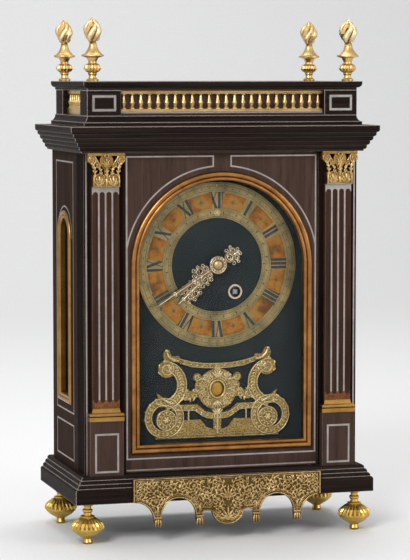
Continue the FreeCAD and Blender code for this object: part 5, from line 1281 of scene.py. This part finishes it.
minute_strokes = curls(minute_curls, 0.8, 0.1) + curls(tail_curls, 0.8, 0.1)
minute_strokes += [even([(0.0, 8.0), (0.0, 76.0)], 1.0, 0.3), leaf(0.0, -19.0, -90, 9.0, 2.0, 0.0, 0.2)]
minute_strokes += [ring(0.0, 54.5, 2.2, 1.2, 1.2, 0.3, 14), ring(0.0, 31.0, 2.4, 1.0, 1.2, 0.3, 14)]
minute_strokes += [ring(0.0, 0.0, radius, radius, width) for radius, width in ((8.4, 1.0), (6.4, 0.6))]
minute_strokes += leaf_wheel(0.0, 0.0, 6.0, 6.0, range(90, -270, -24), 2.6, 1.0, 0.0)
hour_strokes = curls(hour_curls, 0.75, -0.2) + [even([(0.0, 9.0), (0.0, 57.0)], 0.9, -0.2)]
hour_strokes += [ring(0.0, z, 2.2, 0.9, 0.9, -0.2, 14) for z in (28.0, 50.0)]
relief("minute_hand_scrolls", minute_strokes, on_hand(minute_angle, minute_front), hand_brass_painted_highlight,
       "minute_group")
hub_lines = circle_bands(4.6, 0.5) + circle_bands(7.5, 0.35)
flat_piece("hub_lines", hub_lines, minute_front, brown_wax, "minute_group")
relief("hour_hand_scrolls", hour_strokes, on_hand(hour_angle, hour_front), hand_brass_painted_highlight,
       "hour_group")

# %% [markdown]
# Two small rosettes mark twelve, one inside the hour and one in the minute track. They stand a little
# over the ring like rivet heads, so they are relief and not a figure filled with wax.

# %% Rosettes at twelve
inner_height, outer_height = 53.4, 81.6
rosettes = flower(0.0, inner_height, 2.6, 8, 0.1) + flower(0.0, outer_height, 1.5, 6, 0.1)
rosettes.append(ring(0.0, inner_height, 2.9, 2.9, 0.7, 0.0, 20))
relief("twelve_rosettes", rosettes, on_front(ring_front, 0.0, dial_z), bright_brass_painted_highlight, "case")

# %% [markdown]
# The light is a plain soft studio. A broad lamp hangs at the upper left, as the highlights on the bezel
# and on the plinth show, weaker ones fill from the right and from above, and one lights the paper. A
# bright world alone would flatten the relief, so it is dim as a light. What looks at it or mirrors it
# sees a pale grey, so that the metal has something to mirror.


# %% Lamps and world
def lamp(name, place, target, size, power):
    data = bpy.data.lights.new(name, "AREA")
    data.shape = "SQUARE"
    data.size = size
    data.energy = power
    light = bpy.data.objects.new(name, data)
    light.location = place
    light.rotation_euler = (Vector(target) - Vector(place)).to_track_quat("-Z", "Y").to_euler()
    scene.collection.objects.link(light)


lamp("key", (-1.5, -1.9, 1.7), target=(0.0, 0.0, 0.27), size=1.1, power=54.0)
lamp("fill", (1.7, -1.6, 0.9), target=(0.0, 0.0, 0.25), size=1.2, power=16.0)
lamp("top", (0.1, 0.3, 2.0), target=(0.0, 0.0, 0.3), size=1.0, power=14.0)
lamp("backdrop", (0.0, 1.4, 3.6), target=(0.3, 3.8, 0.9), size=2.6, power=62.0)
world = bpy.data.worlds.new("studio")
world.use_nodes = True
scene.world = world
dim = world.node_tree.nodes["Background"]
fill(world, dim.inputs["Color"], (0.86, 0.87, 0.88))
fill(world, dim.inputs["Strength"], 0.5)
seen = add_node(world, "Background", {"Color": (0.90, 0.90, 0.90)})
rays = add_node(world, "LightPath", {})
looking = rays.outputs["Is Camera Ray"]
for kind in ("Is Glossy Ray", "Is Transmission Ray"):
    either = add_node(world, "Math", {0: looking, 1: rays.outputs[kind]}, operation="MAXIMUM")
    looking = either.outputs["Value"]
skies = {"Fac": looking, 1: dim.outputs["Background"], 2: seen.outputs["Background"]}
sky = add_node(world, "MixShader", skies).outputs["Shader"]
fill(world, world.node_tree.nodes["World Output"].inputs["Surface"], sky)
print("four lamps and the world ready")

# %% [markdown]
# The floor is a sheet of pale paper that sweeps up behind the clock, as in a studio. A wall and a
# floor would show a line where they meet. Seen from behind, the sheet is transparent, so that views of
# the clock's back aren't blocked by it.

# %% Floor
bend_start, bend_radius, half_span = 2.2, 1.6, 7.0
profile = [(-6.0, 0.0), (bend_start, 0.0)]
for step in range(1, 13):
    turn = step * math.pi / 24
    profile.append((bend_start + bend_radius * math.sin(turn), bend_radius - bend_radius * math.cos(turn)))
profile.append((bend_start + bend_radius, 6.0))
floor_points = [(x, y, z) for y, z in profile for x in (-half_span, half_span)]
floor_faces = [(2 * step, 2 * step + 1, 2 * step + 3, 2 * step + 2) for step in range(len(profile) - 1)]
floor_mesh = bpy.data.meshes.new("floor")
floor_mesh.from_pydata(floor_points, [], floor_faces)
for face in floor_mesh.polygons:
    face.use_smooth = True
paper = new_finish("floor_paper")
speckle = noise(paper, mapped(paper), 300.0, 3.0, 0.6)
dress(paper, {"Base Color": ramp(paper, speckle, [(0.4, (0.70, 0.70, 0.70)), (0.6, (0.73, 0.73, 0.73))]),
              "Roughness": 0.7})
behind = add_node(paper, "NewGeometry", {}).outputs["Backfacing"]
clear = add_node(paper, "BsdfTransparent", {}).outputs["BSDF"]
sheet = paper.node_tree.nodes["Principled BSDF"].outputs["BSDF"]
choice = add_node(paper, "MixShader", {"Fac": behind, 1: sheet, 2: clear}).outputs["Shader"]
fill(paper, paper.node_tree.nodes["Material Output"].inputs["Surface"], choice)
floor_mesh.materials.append(paper)
floor = bpy.data.objects.new("floor", floor_mesh)
scene.collection.objects.link(floor)
print("floor ready")
